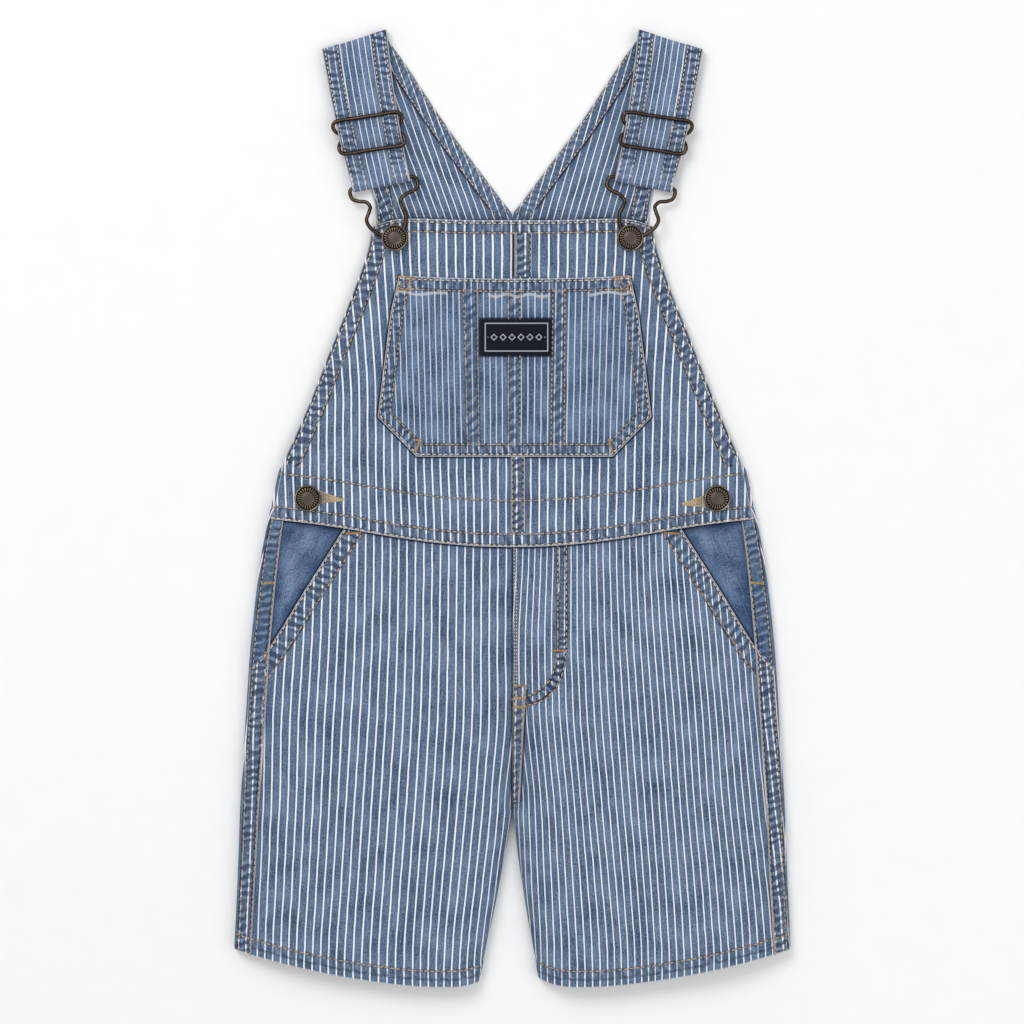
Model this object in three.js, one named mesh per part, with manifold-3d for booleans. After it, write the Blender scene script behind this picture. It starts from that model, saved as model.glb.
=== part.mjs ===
// Kids bib overalls with short legs, in striped denim, laid out flat on their back.
// Millimetres. X runs across the garment, Y from the leg hems to the shoulders, Z up.
// The origin is on the surface that the garment lies on, at the middle of its outline.
// Left and right are the viewer's, looking down on the front.
import * as THREE from "three";
import { mergeVertices } from "three/addons/utils/BufferGeometryUtils.js";
import Module from "manifold-3d";

const wasm = await Module();
wasm.setup();

// Cloth
const WALL = 1.2; // thickness of one wall of cloth
const GAP = 0.3; // space between two pieces that meet
const LAYER = WALL + GAP; // how far one panel lies above the next
const BIB_CLEAR = 0.25; // the bib lies looser than that over its tabs and the legs
const HEM_RISE = 0.5; // a turned hem stands this far above its panel
const TRIM = 1.0; // thickness of seam strips and of the label

// Levels along the garment, on the centre line
const BIB_TOP_Y = 166.8;
const WAIST_Y = -22.9;
const CROTCH_Y = -176.6;
const HEM_Y = -278.1;

// Hems and seam strips
const LEG_HEM_DEPTH = 9.5;
const BIB_HEM_DEPTH = 7.5;
const BIB_SIDE_HEM = 9.0;
const POCKET_HEM_DEPTH = 8.0;
const WAIST_LAP = 7.0; // the bib lies over the top of the legs by this much
const HEM_STEP = 1.0; // a hem comes down to its panel over this distance
const OUTSEAM_SPLIT = 4.8; // front and back legs meet this far in from the outline
const OUTSEAM_INNER = 9.2;
const OUTSEAM_OUTER = 1.4;
const INSEAM_TUCK = 7.0; // the front leg turns under by this much
const INSEAM_RAMP = 25.0; // below the crotch the turn under grows over this length
const CROTCH_EASE = 1.1; // the back stays this much clear of the front at the crotch
const INNER_ROUND = 20.0; // width of the rounding along the inside of a leg
const FELL_WIDTH = 7.0;

// Half of the outline's width, and how high the front stands, from the hems to the bib's top.
// crown is the height in the middle, edge that of the outer fold, rise the distance from the
// outline to the crown, and round the power that makes that rise round (0.5) or soft (1).
const SECTIONS = [
  { y: -278, half: 162.4, crown: 13.2, edge: 4.2, rise: 40, round: 0.7 },
  { y: -256.7, half: 161.8, crown: 13.8, edge: 4.3, rise: 41, round: 0.7 },
  { y: -227.7, half: 160.4, crown: 14.4, edge: 4.4, rise: 42, round: 0.7 },
  { y: -198.7, half: 159.2, crown: 14.8, edge: 4.4, rise: 42, round: 0.7 },
  { y: -169.7, half: 158.1, crown: 14.6, edge: 4.4, rise: 42, round: 0.7 },
  { y: -123.3, half: 155.2, crown: 13.8, edge: 4.4, rise: 42, round: 0.7 },
  { y: -76.9, half: 152.0, crown: 12.8, edge: 4.3, rise: 40, round: 0.7 },
  { y: -30.5, half: 146.5, crown: 11.8, edge: 4.2, rise: 38, round: 0.7 },
  { y: -7.3, half: 142.1, crown: 11.5, edge: 4.2, rise: 36, round: 0.7 },
  { y: 4.3, half: 139.5, crown: 11.3, edge: 4.1, rise: 35, round: 0.7 },
  { y: 16, half: 137.2, crown: 11.0, edge: 4.0, rise: 34, round: 0.75 },
  { y: 22, half: 135.7, crown: 10.8, edge: 3.6, rise: 34, round: 0.85 },
  { y: 27.5, half: 133.0, crown: 10.6, edge: 3.0, rise: 34, round: 1 },
  { y: 50.7, half: 122.7, crown: 9.8, edge: 2.8, rise: 32, round: 1 },
  { y: 97.1, half: 104.1, crown: 8.4, edge: 2.6, rise: 30, round: 1 },
  { y: 143.5, half: 86.4, crown: 6.4, edge: 2.4, rise: 28, round: 1 },
  { y: 167, half: 81.0, crown: 5.4, edge: 2.4, rise: 28, round: 1 },
];

// The seam between bib and legs, and the bib's top edge, from the centre out.
const WAIST_SEAM = [
  { q: 0, y: WAIST_Y },
  { q: 20, y: -22.4 },
  { q: 45, y: -20.3 },
  { q: 70, y: -16.8 },
  { q: 98.6, y: -11.9 },
  { q: 120, y: -8.9 },
  { q: 145, y: -6.2 },
];
const BIB_TOP = [
  { q: 0, y: BIB_TOP_Y },
  { q: 30, y: 167.0 },
  { q: 58, y: 167.8 },
  { q: 70, y: 167.0 },
  { q: 81, y: 163.6 },
];

// The bib's side below its armhole, where the back's tab shows beside it.
const BIB_SIDE = [
  { y: -8, half: 140.2 },
  { y: 4.3, half: 137.2 },
  { y: 16, half: 135.0 },
  { y: 27.5, half: 132.6 },
];

// The slanted edge of the hip pocket, from the waist seam down.
const HIP_POCKET_EDGE = [
  { y: -96, q: 154.0 },
  { y: -83, q: 142.5 },
  { y: -45, q: 118.5 },
  { y: 0, q: 90.0 },
];
const FACING_LOW_Y = -86;
const FACING_UNDER = 10; // the facing runs this far under the pocket edge
const FACING_DROP = LAYER + 0.4; // and lies this far below the front there

// The back: its V neck and its armholes, up to the shoulders.
const NECK_V = [
  { y: 170.8, q: 0.15 },
  { y: 178.4, q: 5.8 },
  { y: 196.9, q: 19.7 },
  { y: 215.5, q: 33.6 },
  { y: 234.0, q: 46.4 },
  { y: 252.6, q: 58.6 },
  { y: 274.0, q: 72.4 },
];
const ARMHOLE = [
  { y: 24, q: 128.6 },
  { y: 39.2, q: 122.0 },
  { y: 62.4, q: 111.5 },
  { y: 91.4, q: 99.5 },
  { y: 120.4, q: 89.0 },
  { y: 149.4, q: 81.0 },
  { y: 170.0, q: 79.5 },
  { y: 190.0, q: 83.5 },
  { y: 213.0, q: 92.8 },
  { y: 242.0, q: 102.7 },
  { y: 264.0, q: 108.5 },
];
const SIDE_TAB_FLOOR = 6.0; // the tab joins the back this far in from the outline
const SIDE_TAB_REACH = 33.0; // and reaches this far under the bib
const SIDE_TAB_TOP_Y = 24.0;

// Bib pocket, six-sided, and the label on it
const POCKET_X = 1.2;
const POCKET_HALF = [
  { y: 29.5, half: 56.8 },
  { y: 52.5, half: 79.3 },
  { y: 70.5, half: 77.2 },
  { y: 113.4, half: 71.8 },
  { y: 134.5, half: 67.0 },
];
const POCKET_SAG = 1.8; // the mouth sags by this much in the middle
const LABEL = { x: 1.8, y: 98.7, width: 40.8, height: 20.7 };

// Soft folds of the front, each from one point to another.
const FOLDS = [
  { x0: -110, y0: -138, x1: -112, y1: -176, width: 7, height: -0.9 },
  { x0: -12, y0: -168, x1: -62, y1: -128, width: 10, height: 0.9 },
  { x0: 12, y0: -170, x1: 58, y1: -134, width: 9, height: 1.0 },
  { x0: 36, y0: -150, x1: 28, y1: -205, width: 8, height: -0.9 },
  { x0: -40, y0: -200, x1: -30, y1: -262, width: 11, height: 0.8 },
  { x0: 96, y0: -214, x1: 118, y1: -258, width: 10, height: 0.8 },
  { x0: -96, y0: 60, x1: -70, y1: 10, width: 9, height: 0.7 },
  { x0: 100, y0: 56, x1: 76, y1: 12, width: 9, height: -0.6 },
];

// Strap and its hardware, in the strap's own frame: a across it and outwards, s along it and
// upwards, with the hook's bar at s = 0. The strap bows outwards a little and tapers downwards.
const STRAP = { q: 75.6, y: 189.0, lean: Math.atan2(16.8, 85.8) };
const STRAP_BOW = 1.8;
const SHOULDER_HALF = 19.4; // half of the strap's width at the shoulder
const STRAP_HALF = 17.0; // and at the hook
const TAIL_HALF = 14.6; // and of the end that runs back up behind
const SHOULDER_S = 84.9; // where the fold over the shoulder ends
const SHOULDER_SLANT = -0.11;
const SHOULDER_RADIUS = 2.3;
const WIRE_RADIUS = 1.1;
const WIRE_SIDES = 6;
const SLIDE_TOP_S = 39.0;
const SLIDE_LOW_S = 19.4;
const SLIDE_MID_S = (SLIDE_TOP_S + SLIDE_LOW_S) / 2;
const SLIDE_TILT = 0.04; // the slide's bars rise outwards by this much against the strap
const SLIDE_BAR_Z = 7.9;
const SLIDE_MID_Z = 6.0;
const SLIDE_TOP_HALF = 20.2;
const SLIDE_LOW_HALF = 19.2;
const SLIDE_PINCH = 16.6;
const HOOK_IN = -0.9; // the hook and its button sit this far in from the strap's middle
const HOOK_SWAY = 2.7; // and the hook's loop hangs this far out between them
const HOOK_BAR_Z = 4.6;
const HOOK_LOW_Z = 9.1;
const BUTTON_S = -33.5;

// Buttons
const CAP_RADIUS = 7.7;
const CAP_HEIGHT = 2.4;
const SHANK_RADIUS = 2.0;
const TACK_RADIUS = 4.5;
const TACK_HEIGHT = 1.0;
const SHANK_HOLE = 2.4;
const SIDE_BUTTON = { q: 118.6, y: 5.3 };
const BUTTONHOLE = { length: 20.0, width: 1.2, slope: -0.14 };

const clamp = (t, low = 0, high = 1) => Math.min(high, Math.max(low, t));
const mix = (a, b, t) => a + (b - a) * t;
const ease = (t) => clamp(t) ** 2 * (3 - 2 * clamp(t));

// Reads one column of a table at a value of another, on a smooth line through its rows.
function along(table, key, column, at) {
  const rows = table.length;
  let i = 0;
  while (i < rows - 2 && at > table[i + 1][key]) i += 1;
  const slope = (j) => {
    const a = table[clamp(j - 1, 0, rows - 1)];
    const b = table[clamp(j + 1, 0, rows - 1)];
    return (b[column] - a[column]) / (b[key] - a[key]);
  };
  const [low, high] = [table[i], table[i + 1]];
  const span = high[key] - low[key];
  const t = clamp((at - low[key]) / span);
  const [t2, t3] = [t * t, t * t * t];
  return (
    (2 * t3 - 3 * t2 + 1) * low[column] +
    (t3 - 2 * t2 + t) * span * slope(i) +
    (3 * t2 - 2 * t3) * high[column] +
    (t3 - t2) * span * slope(i + 1)
  );
}

// Reads a table on straight lines between its rows, for outlines with corners.
function straight(table, key, column, at) {
  let i = 0;
  while (i < table.length - 2 && at > table[i + 1][key]) i += 1;
  const [low, high] = [table[i], table[i + 1]];
  return mix(low[column], high[column], clamp((at - low[key]) / (high[key] - low[key])));
}

const outline = (y) => along(SECTIONS, "y", "half", y);
const waistSeam = (q) => along(WAIST_SEAM, "q", "y", q);
const bibTop = (q) => along(BIB_TOP, "q", "y", q);
const bibSide = (y) => (y > 27.5 ? outline(y) - 0.4 : along(BIB_SIDE, "y", "half", y));
const pocketEdge = (y) => along(HIP_POCKET_EDGE, "y", "q", y);
const outseam = (y) => outline(y) - OUTSEAM_SPLIT;

// The inside of each leg runs outwards below the crotch, a little more on the left.
function insideLeg(side, y) {
  const below = Math.max(0, CROTCH_Y - y);
  const [lean, curve] = side < 0 ? [0.16, 0.00043] : [0.111, 0.00052];
  return lean * below + curve * below * below;
}

// The bottom edge of a leg: it rises towards the outseam, and a little at its inside corner.
function legHem(q) {
  const outer = 0.01053 * Math.max(0, q - 45) ** 1.6;
  const inner = 0.012 * Math.max(0, 35 - q) ** 2;
  return HEM_Y + outer + inner;
}

const dome = (t, power) => (1 - (1 - clamp(t)) ** 2) ** power;

function foldHeight(x, y) {
  let height = 0;
  for (const f of FOLDS) {
    const [dx, dy] = [f.x1 - f.x0, f.y1 - f.y0];
    const t = clamp(((x - f.x0) * dx + (y - f.y0) * dy) / (dx * dx + dy * dy));
    const away = Math.hypot(x - f.x0 - t * dx, y - f.y0 - t * dy);
    height += f.height * Math.exp(-((away / f.width) ** 2)) * (0.5 + 0.5 * Math.sin(Math.PI * t));
  }
  return height;
}

// Height of the front's outer face: a low dome that falls to the outline and to the inside of
// each leg, with a valley that fades above the crotch.
function frontHeight(side, q, y) {
  const edge = along(SECTIONS, "y", "edge", y);
  const crown = along(SECTIONS, "y", "crown", y);
  const rise = along(SECTIONS, "y", "rise", y);
  const round = along(SECTIONS, "y", "round", y);
  const outer = dome((outline(y) - q) / rise, round);
  const above = y - CROTCH_Y;
  const soft = 8 * clamp(above / 15);
  const fromInside = above < 0 ? q - insideLeg(side, y) : Math.hypot(q, soft) - soft;
  const valley = above < 0 ? 1 : 1 - ease(above / 95);
  const inner = 1 - valley * (1 - dome(fromInside / INNER_ROUND, 0.5));
  return edge + (crown - edge + foldHeight(side * q, y)) * outer * inner;
}

// Height of the back's outer face: flat on the surface, and turned up at the outline, along the
// inside of each leg and at the crotch.
function backHeight(side, q, y) {
  const edge = along(SECTIONS, "y", "edge", y);
  const inside = y < CROTCH_Y ? q - insideLeg(side, y) : Math.hypot(q, y - CROTCH_Y);
  const away = clamp(Math.min(outline(y) - q, inside), 0, edge);
  return edge - Math.sqrt(edge * edge - (edge - away) ** 2);
}

const point = (side, q, y, z) => new THREE.Vector3(side * q, y, z);

// Points that lie evenly along a line of many points.
function spread(line, count) {
  const lengths = [0];
  for (let i = 1; i < line.length; i += 1)
    lengths.push(lengths[i - 1] + line[i].distanceTo(line[i - 1]));
  const total = lengths.at(-1);
  const points = [];
  let k = 1;
  for (let i = 0; i <= count; i += 1) {
    const want = (total * i) / count;
    while (k < line.length - 1 && lengths[k] < want) k += 1;
    const t = (want - lengths[k - 1]) / (lengths[k] - lengths[k - 1]);
    points.push(line[k - 1].clone().lerp(line[k], clamp(t)));
  }
  return points;
}

// A closed wall of cloth from a grid of points on its outer face. thickness may be a number or a
// function of the point, and lift moves a point outwards first.
function clothWall(grid, { thickness = WALL, lift = () => 0 } = {}) {
  const rows = grid.length;
  const cols = grid[0].length;
  const at = (i, j) => grid[clamp(i, 0, rows - 1)][clamp(j, 0, cols - 1)];
  const outer = [];
  const inner = [];
  for (let i = 0; i < rows; i += 1)
    for (let j = 0; j < cols; j += 1) {
      const across = at(i, j + 1).clone().sub(at(i, j - 1));
      const up = at(i + 1, j).clone().sub(at(i - 1, j));
      const normal = across.cross(up).normalize();
      const deep = typeof thickness === "number" ? thickness : thickness(grid[i][j]);
      const out = grid[i][j].clone().addScaledVector(normal, lift(grid[i][j]));
      outer.push(out);
      inner.push(out.clone().addScaledVector(normal, -deep));
    }
  const positions = [...outer, ...inner].flatMap((p) => [p.x, p.y, p.z]);
  const index = [];
  const back = outer.length;
  const quad = (a, b, c, d) => index.push(a, b, c, a, c, d);
  for (let i = 0; i < rows - 1; i += 1)
    for (let j = 0; j < cols - 1; j += 1) {
      const [a, b] = [i * cols + j, i * cols + j + 1];
      const [c, d] = [b + cols, a + cols];
      quad(a, b, c, d);
      quad(back + d, back + c, back + b, back + a);
    }
  for (let j = 0; j < cols - 1; j += 1) {
    const top = (rows - 1) * cols + j;
    quad(back + j, back + j + 1, j + 1, j);
    quad(top, top + 1, back + top + 1, back + top);
  }
  for (let i = 0; i < rows - 1; i += 1) {
    const [left, right] = [i * cols, i * cols + cols - 1];
    quad(left, left + cols, back + left + cols, back + left);
    quad(back + right, back + right + cols, right + cols, right);
  }
  const geometry = new THREE.BufferGeometry();
  geometry.setAttribute("position", new THREE.BufferAttribute(new Float32Array(positions), 3));
  geometry.setIndex(index);
  return geometry;
}

// The rows of a mirrored piece run the other way, so that its outer face still points out.
const facing = (side, grid) => (side < 0 ? grid.map((row) => [...row].reverse()) : grid);

// Fractions from 0 to 1 with the given extra stops, such as the foot of a hem.
function stops(count, extra = []) {
  const even = Array.from({ length: count + 1 }, (_, i) => i / count);
  const near = 0.4 / count;
  const clear = (t) => extra.every((e) => Math.abs(e - t) > near);
  const kept = even.filter((t) => t === 0 || t === 1 || clear(t));
  return [...new Set([...kept, ...extra])].sort((a, b) => a - b);
}

// The height along a leg at fraction v, from its hem to just above the waist seam.
const legRow = (q, v) => mix(legHem(q), waistSeam(q) + WAIST_LAP, v);

// Finds the point of a row where a boundary that depends on y meets it.
function meet(boundary, v, start) {
  let q = start;
  for (let i = 0; i < 8; i += 1) q = boundary(legRow(q, v));
  return q;
}

const LEG_LENGTH = 255;
const LEG_ROWS = stops(17, [
  LEG_HEM_DEPTH / LEG_LENGTH,
  (LEG_HEM_DEPTH + HEM_STEP) / LEG_LENGTH,
  ...[0.272, 0.3, 0.325, 0.35],
]);
const inLegHem = (p) => (p.y < legHem(Math.abs(p.x)) + LEG_HEM_DEPTH + 0.1 ? 1 : 0);

// Samples a stretch of a row at many points, for spreading over the grid's columns.
function stretch(side, from, to, v, height, power = 1) {
  const line = [];
  for (let i = 0; i <= 40; i += 1) {
    const q = mix(from, to, 1 - (1 - i / 40) ** power);
    const y = legRow(q, v);
    line.push(point(side, q, y, height(side, q, y)));
  }
  return line;
}

// Joins stretches into one row, each spread over its own number of columns.
function joinedRow(stretches) {
  return stretches.flatMap(([line, count], i) => spread(line, count).slice(i ? 1 : 0));
}

// One row of the front leg, from the pocket edge or outseam over the top to the inside, and
// below the crotch round the inside edge to the inseam underneath.
function frontLegRow(side, v) {
  const start = meet((y) => Math.min(outseam(y), pocketEdge(y)), v, 130);
  const end = Math.max(meet((y) => insideLeg(side, y), v, 5), GAP / 2);
  const below = CROTCH_Y - legRow(end, v);
  const roll = below > 0 ? 1.5 * (1 - ease(below / 10)) : 1.5 + 7.5 * ease(-below / 25);
  const tuck = INSEAM_TUCK * ease(below / INSEAM_RAMP);
  const last = end + roll;
  const round = end + INNER_ROUND + 2;
  const under = stretch(side, last, end, v, frontHeight, 2);
  if (tuck > 0) {
    const tucked = stretch(side, end + tuck, end, v, backHeight, 2).reverse();
    under.push(...tucked.slice(1));
  }
  return joinedRow([
    [stretch(side, start, start - 6, v, frontHeight), 2],
    [stretch(side, start - 6, round, v, frontHeight), 8],
    [stretch(side, round, last, v, frontHeight, 2), 5],
    [under, 4],
  ]);
}

// One row of the back leg, from the inseam or the centre along the surface, and round the
// outline to the outseam on top.
function backLegRow(side, v) {
  const inside = Math.max(meet((y) => insideLeg(side, y), v, 5), 0);
  const below = CROTCH_Y - legRow(Math.max(inside, GAP / 2), v);
  const near = below > 0 ? 1 - ease(below / INSEAM_RAMP) : 1 - ease(-below / 12);
  const seam = below > 0 ? INSEAM_TUCK * ease(below / INSEAM_RAMP) + GAP : GAP / 2;
  const start = inside + seam + CROTCH_EASE * near;
  const edge = meet(outline, v, 150);
  const split = meet((y) => outseam(y) + GAP, v, 150);
  return joinedRow([
    [stretch(side, start, start + 9, v, backHeight), 3],
    [stretch(side, start + 9, edge - 6, v, backHeight), 4],
    [stretch(side, edge - 6, edge, v, backHeight, 2), 5],
    [stretch(side, split, edge, v, frontHeight, 2).reverse(), 2],
  ]);
}

function frontLeg(side) {
  const rows = LEG_ROWS.map((v) => frontLegRow(side, v));
  const lift = (p) => (p.z > 4 ? HEM_RISE * inLegHem(p) : 0);
  return clothWall(facing(-side, rows), { lift });
}

function backLeg(side) {
  const rows = LEG_ROWS.map((v) => backLegRow(side, v));
  return clothWall(facing(-side, rows));
}

// A grid between two lines across and two lines up, with fractions u and v.
function patch(side, us, vs, across, upwards, height) {
  return vs.map((v) =>
    us.map((u) => {
      let y = upwards(50, v);
      let q = across(y, u);
      for (let i = 0; i < 6; i += 1) {
        y = upwards(q, v);
        q = across(y, u);
      }
      return point(side, q, y, height(q, y));
    }),
  );
}

// The bib: one half from the centre seam to its side, over the tops of the legs at the waist.
const bibHeight = (side, q, y) => frontHeight(side, q, y) + LAYER + BIB_CLEAR;

function bibHemRise(p) {
  const q = Math.abs(p.x);
  const top = p.y > bibTop(q) - BIB_HEM_DEPTH - 0.1;
  const low = p.y < waistSeam(q) + WAIST_LAP + 0.6;
  const edge = q > bibSide(p.y) - BIB_SIDE_HEM - 0.1;
  return top || low || edge ? HEM_RISE : 0;
}

function bibHalf(side) {
  const long = BIB_TOP_Y - WAIST_Y;
  const vs = stops(15, [
    (WAIST_LAP + 0.5) / long,
    (WAIST_LAP + 0.5 + HEM_STEP) / long,
    1 - (BIB_HEM_DEPTH + HEM_STEP) / long,
    1 - BIB_HEM_DEPTH / long,
  ]);
  const inner = stops(9).map((t) => {
    return { share: Math.sin((Math.PI / 2) * t), from: BIB_SIDE_HEM + HEM_STEP };
  });
  const hem = [BIB_SIDE_HEM, BIB_SIDE_HEM / 2, 0].map((from) => ({ share: 1, from }));
  const columns = [...inner, ...hem];
  const across = (y, c) => mix(GAP / 2, bibSide(y) - c.from, c.share);
  const upwards = (q, v) => mix(waistSeam(q), bibTop(q), v);
  const grid = patch(side, columns, vs, across, upwards, (q, y) => bibHeight(side, q, y));
  return clothWall(facing(side, grid), { lift: bibHemRise });
}

// The felled seam beside the centre line, between two heights along the garment.
function centreStrip(count, low, high, height, from = 0.4, to = FELL_WIDTH) {
  const rows = stops(count).map((v) => {
    const y = mix(low, high, v);
    return [from, (from + to) / 2, to].map((q) => point(1, q, y, height(q, y)));
  });
  return clothWall(rows, { thickness: TRIM, lift: () => GAP + TRIM + HEM_RISE / 2 });
}

function outseamStrip(side) {
  const rows = stops(20).map((v) => {
    const share = mix(0.4 / 262, 1, v);
    return [0, 0.5, 1].map((u) => {
      const inset = mix(OUTSEAM_INNER, OUTSEAM_OUTER, u);
      let q = 150;
      let y = 0;
      for (let i = 0; i < 8; i += 1) {
        y = mix(legHem(q), waistSeam(q) - GAP, share);
        q = outline(y) - inset;
      }
      return point(side, q, y, frontHeight(side, q, y));
    });
  });
  return clothWall(facing(side, rows), { thickness: TRIM, lift: () => GAP + TRIM + HEM_RISE });
}

// The denim facing behind the slanted hip pocket.
function hipFacing(side) {
  const us = [0, 0.25, 0.5, 0.7, 0.84, 0.94, 1];
  const vs = stops(9);
  const across = (y, u) => mix(pocketEdge(y) - FACING_UNDER, outseam(y) - 2 * GAP, u);
  const upwards = (q, v) => mix(FACING_LOW_Y, waistSeam(q) + WAIST_LAP, v);
  const height = (q, y) => {
    const room = Math.max(outseam(y) - pocketEdge(y), 3);
    const drop = FACING_DROP * ease((outseam(y) - q) / Math.min(14, room));
    return frontHeight(side, q, y) - drop;
  };
  return clothWall(facing(side, patch(side, us, vs, across, upwards, height)));
}

// The upper back: one half, flat on the surface, from the waist to just below the shoulder.
const strapFrame = (across, s) => {
  const [sin, cos] = [Math.sin(STRAP.lean), Math.cos(STRAP.lean)];
  const a = across + STRAP_BOW * Math.max(0, 1 - ((s - 35) / 50) ** 2);
  return { q: STRAP.q + a * cos + s * sin, y: STRAP.y - a * sin + s * cos };
};
const shoulder = (a) => SHOULDER_S + SHOULDER_SLANT * a - SHOULDER_RADIUS - WALL / 2;

function backHalf(side) {
  const low = (q) => waistSeam(q) + WAIST_LAP + 2 * GAP;
  const inner = (y) => (y < NECK_V[0].y ? GAP / 2 : along(NECK_V, "y", "q", y));
  const tabSide = (y) => outline(y) - SIDE_TAB_FLOOR - 2 * GAP;
  const outer = (y) => (y < ARMHOLE[0].y ? tabSide(y) : along(ARMHOLE, "y", "q", y));
  const neckV = 0.662;
  const vs = stops(17, [neckV]);
  const rows = vs.map((v) =>
    stops(7).map((u) => {
      const a = mix(-SHOULDER_HALF, SHOULDER_HALF, u);
      const end = strapFrame(a, shoulder(a) - 3 - GAP);
      let y = 100;
      let q = 50;
      for (let i = 0; i < 6; i += 1) {
        y = mix(low(q), end.y, v);
        q = mix(inner(y), outer(y), u);
      }
      const shift = end.q - mix(inner(end.y), outer(end.y), u);
      return point(side, q + shift * ease((v - 0.94) / 0.06), y, WALL);
    }),
  );
  return clothWall(facing(side, rows));
}

// The tab at the back's side: it turns up round the outline and lies under the bib, where the
// side button is fixed to it.
function sideTab(side) {
  const rows = stops(5).map((v) => {
    const line = [];
    const y = (q) => mix(waistSeam(q) + WAIST_LAP + GAP, SIDE_TAB_TOP_Y, v);
    const edgeQ = outline(y(138));
    for (let i = 0; i <= 20; i += 1) {
      const q = edgeQ - SIDE_TAB_FLOOR * (1 - i / 20) ** 2;
      line.push(point(side, q, y(q), backHeight(side, q, y(q))));
    }
    for (let i = 1; i <= 40; i += 1) {
      const q = edgeQ - SIDE_TAB_REACH * (i / 40) ** 2;
      line.push(point(side, q, y(q), frontHeight(side, q, y(q))));
    }
    return spread(line, 12);
  });
  return clothWall(facing(-side, rows));
}

// The strap's path from the back over the shoulder, through the slide, round the hook's bar and
// back up to the slide's middle bar, which its end is turned round. share runs across the strap
// from -1 to 1, and each row is s, z and half width.
function strapPath(share) {
  const path = [];
  const add = (s, z, half) => path.push({ s, z, half });
  const arc = (s, z, radius, from, to, half, steps) => {
    for (let i = 0; i <= steps; i += 1) {
      const angle = THREE.MathUtils.degToRad(mix(from, to, i / steps));
      add(s + radius * Math.cos(angle), z + radius * Math.sin(angle), half);
    }
  };
  const fold = shoulder(share * SHOULDER_HALF);
  const tilt = (half) => SLIDE_TILT * share * half;
  const [top, mid, low] = [SLIDE_TOP_S, SLIDE_MID_S, SLIDE_LOW_S].map((s) => s + tilt(STRAP_HALF));
  const wide = (s) => mix(STRAP_HALF, SHOULDER_HALF, clamp(s / SHOULDER_S));
  const tailMid = SLIDE_MID_S + tilt(TAIL_HALF);
  const flat = WALL / 2;
  const over = SHOULDER_RADIUS;
  const turn = WIRE_RADIUS + GAP + flat;
  const front = (s, z) => add(s, z, wide(s));
  add(fold - 3, flat, SHOULDER_HALF);
  arc(fold, flat + over, over, -90, 90, SHOULDER_HALF, 8);
  front(mix(top, fold, 0.6), 5.4);
  front(mix(top, fold, 0.25), 5.7);
  front(top + 3, 5.9);
  front(top, 5.9);
  front(top - 3, 6.8);
  front(mid + 3, 9.3);
  front(mid, 9.7);
  front(mid - 3, 9.3);
  front(low + 3, 6.8);
  front(low, 5.9);
  front(low - 3, 5.95);
  front(8, 6.4);
  arc(0, HOOK_BAR_Z, turn, 90, 270, STRAP_HALF, 8);
  add(4, HOOK_BAR_Z - turn, TAIL_HALF);
  add(tailMid - 10, 2.7, TAIL_HALF);
  add(tailMid - 4, 2.9, TAIL_HALF);
  arc(tailMid, SLIDE_MID_Z, turn, -70, 180, TAIL_HALF, 10);
  add(tailMid - 4.5, 4.6, TAIL_HALF);
  add(tailMid - 8.5, 4.35, TAIL_HALF);
  return path;
}

function strap(side) {
  const us = stops(2);
  const columns = us.map((u) => {
    const share = mix(-1, 1, u);
    return strapPath(share).map((p) => {
      const at = strapFrame(share * p.half, p.s);
      return point(side, at.q, at.y, p.z);
    });
  });
  const centre = columns[0].map((_, i) => columns.map((c) => c[i]));
  const grid = facing(-side, centre);
  return clothWall(grid, { lift: () => WALL / 2 });
}

// A closed wire through points of the strap's frame.
function wire(side, points, segments) {
  const path = new THREE.CatmullRomCurve3(
    points.map(([a, s, z]) => {
      const at = strapFrame(a, s);
      return point(side, at.q, at.y, z);
    }),
    true,
    "centripetal",
  );
  return new THREE.TubeGeometry(path, segments, WIRE_RADIUS, WIRE_SIDES, true);
}

const mirrored = (half) => [...half, ...half.toReversed().map(([a, s, z]) => [-a, s, z])];

// The slide: a wire loop pinched at its waist, with a bar across the pinch.
function slide(side) {
  const [high, drop] = [SLIDE_BAR_Z, SLIDE_MID_Z];
  const [top, low] = [SLIDE_TOP_HALF, SLIDE_LOW_HALF];
  const half = [
    [6, SLIDE_TOP_S, high],
    [top - 3.2, SLIDE_TOP_S, high],
    [top - 0.8, SLIDE_TOP_S - 1.0, high],
    [top, SLIDE_TOP_S - 3.4, high - 0.2],
    [top - 0.9, SLIDE_TOP_S - 5.8, high - 1.0],
    [SLIDE_PINCH + 0.8, SLIDE_MID_S + 2.2, drop + 0.2],
    [SLIDE_PINCH, SLIDE_MID_S, drop],
    [SLIDE_PINCH + 0.8, SLIDE_MID_S - 2.2, drop + 0.2],
    [low - 0.6, SLIDE_LOW_S + 5.8, high - 1.0],
    [low, SLIDE_LOW_S + 3.4, high - 0.2],
    [low - 0.8, SLIDE_LOW_S + 1.0, high],
    [low - 3.2, SLIDE_LOW_S, high],
    [6, SLIDE_LOW_S, high],
  ];
  const tilted = mirrored(half).map(([a, s, z]) => [a, s + SLIDE_TILT * a, z]);
  const [from, to] = [-SLIDE_PINCH, SLIDE_PINCH].map((a) => {
    const at = strapFrame(a, SLIDE_MID_S + SLIDE_TILT * a);
    return point(side, at.q, at.y, drop);
  });
  const bar = new THREE.ExtrudeGeometry(wireSection(), {
    steps: 1,
    extrudePath: new THREE.LineCurve3(from, to),
  });
  return join(wire(side, tilted, 52), bar);
}

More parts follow.
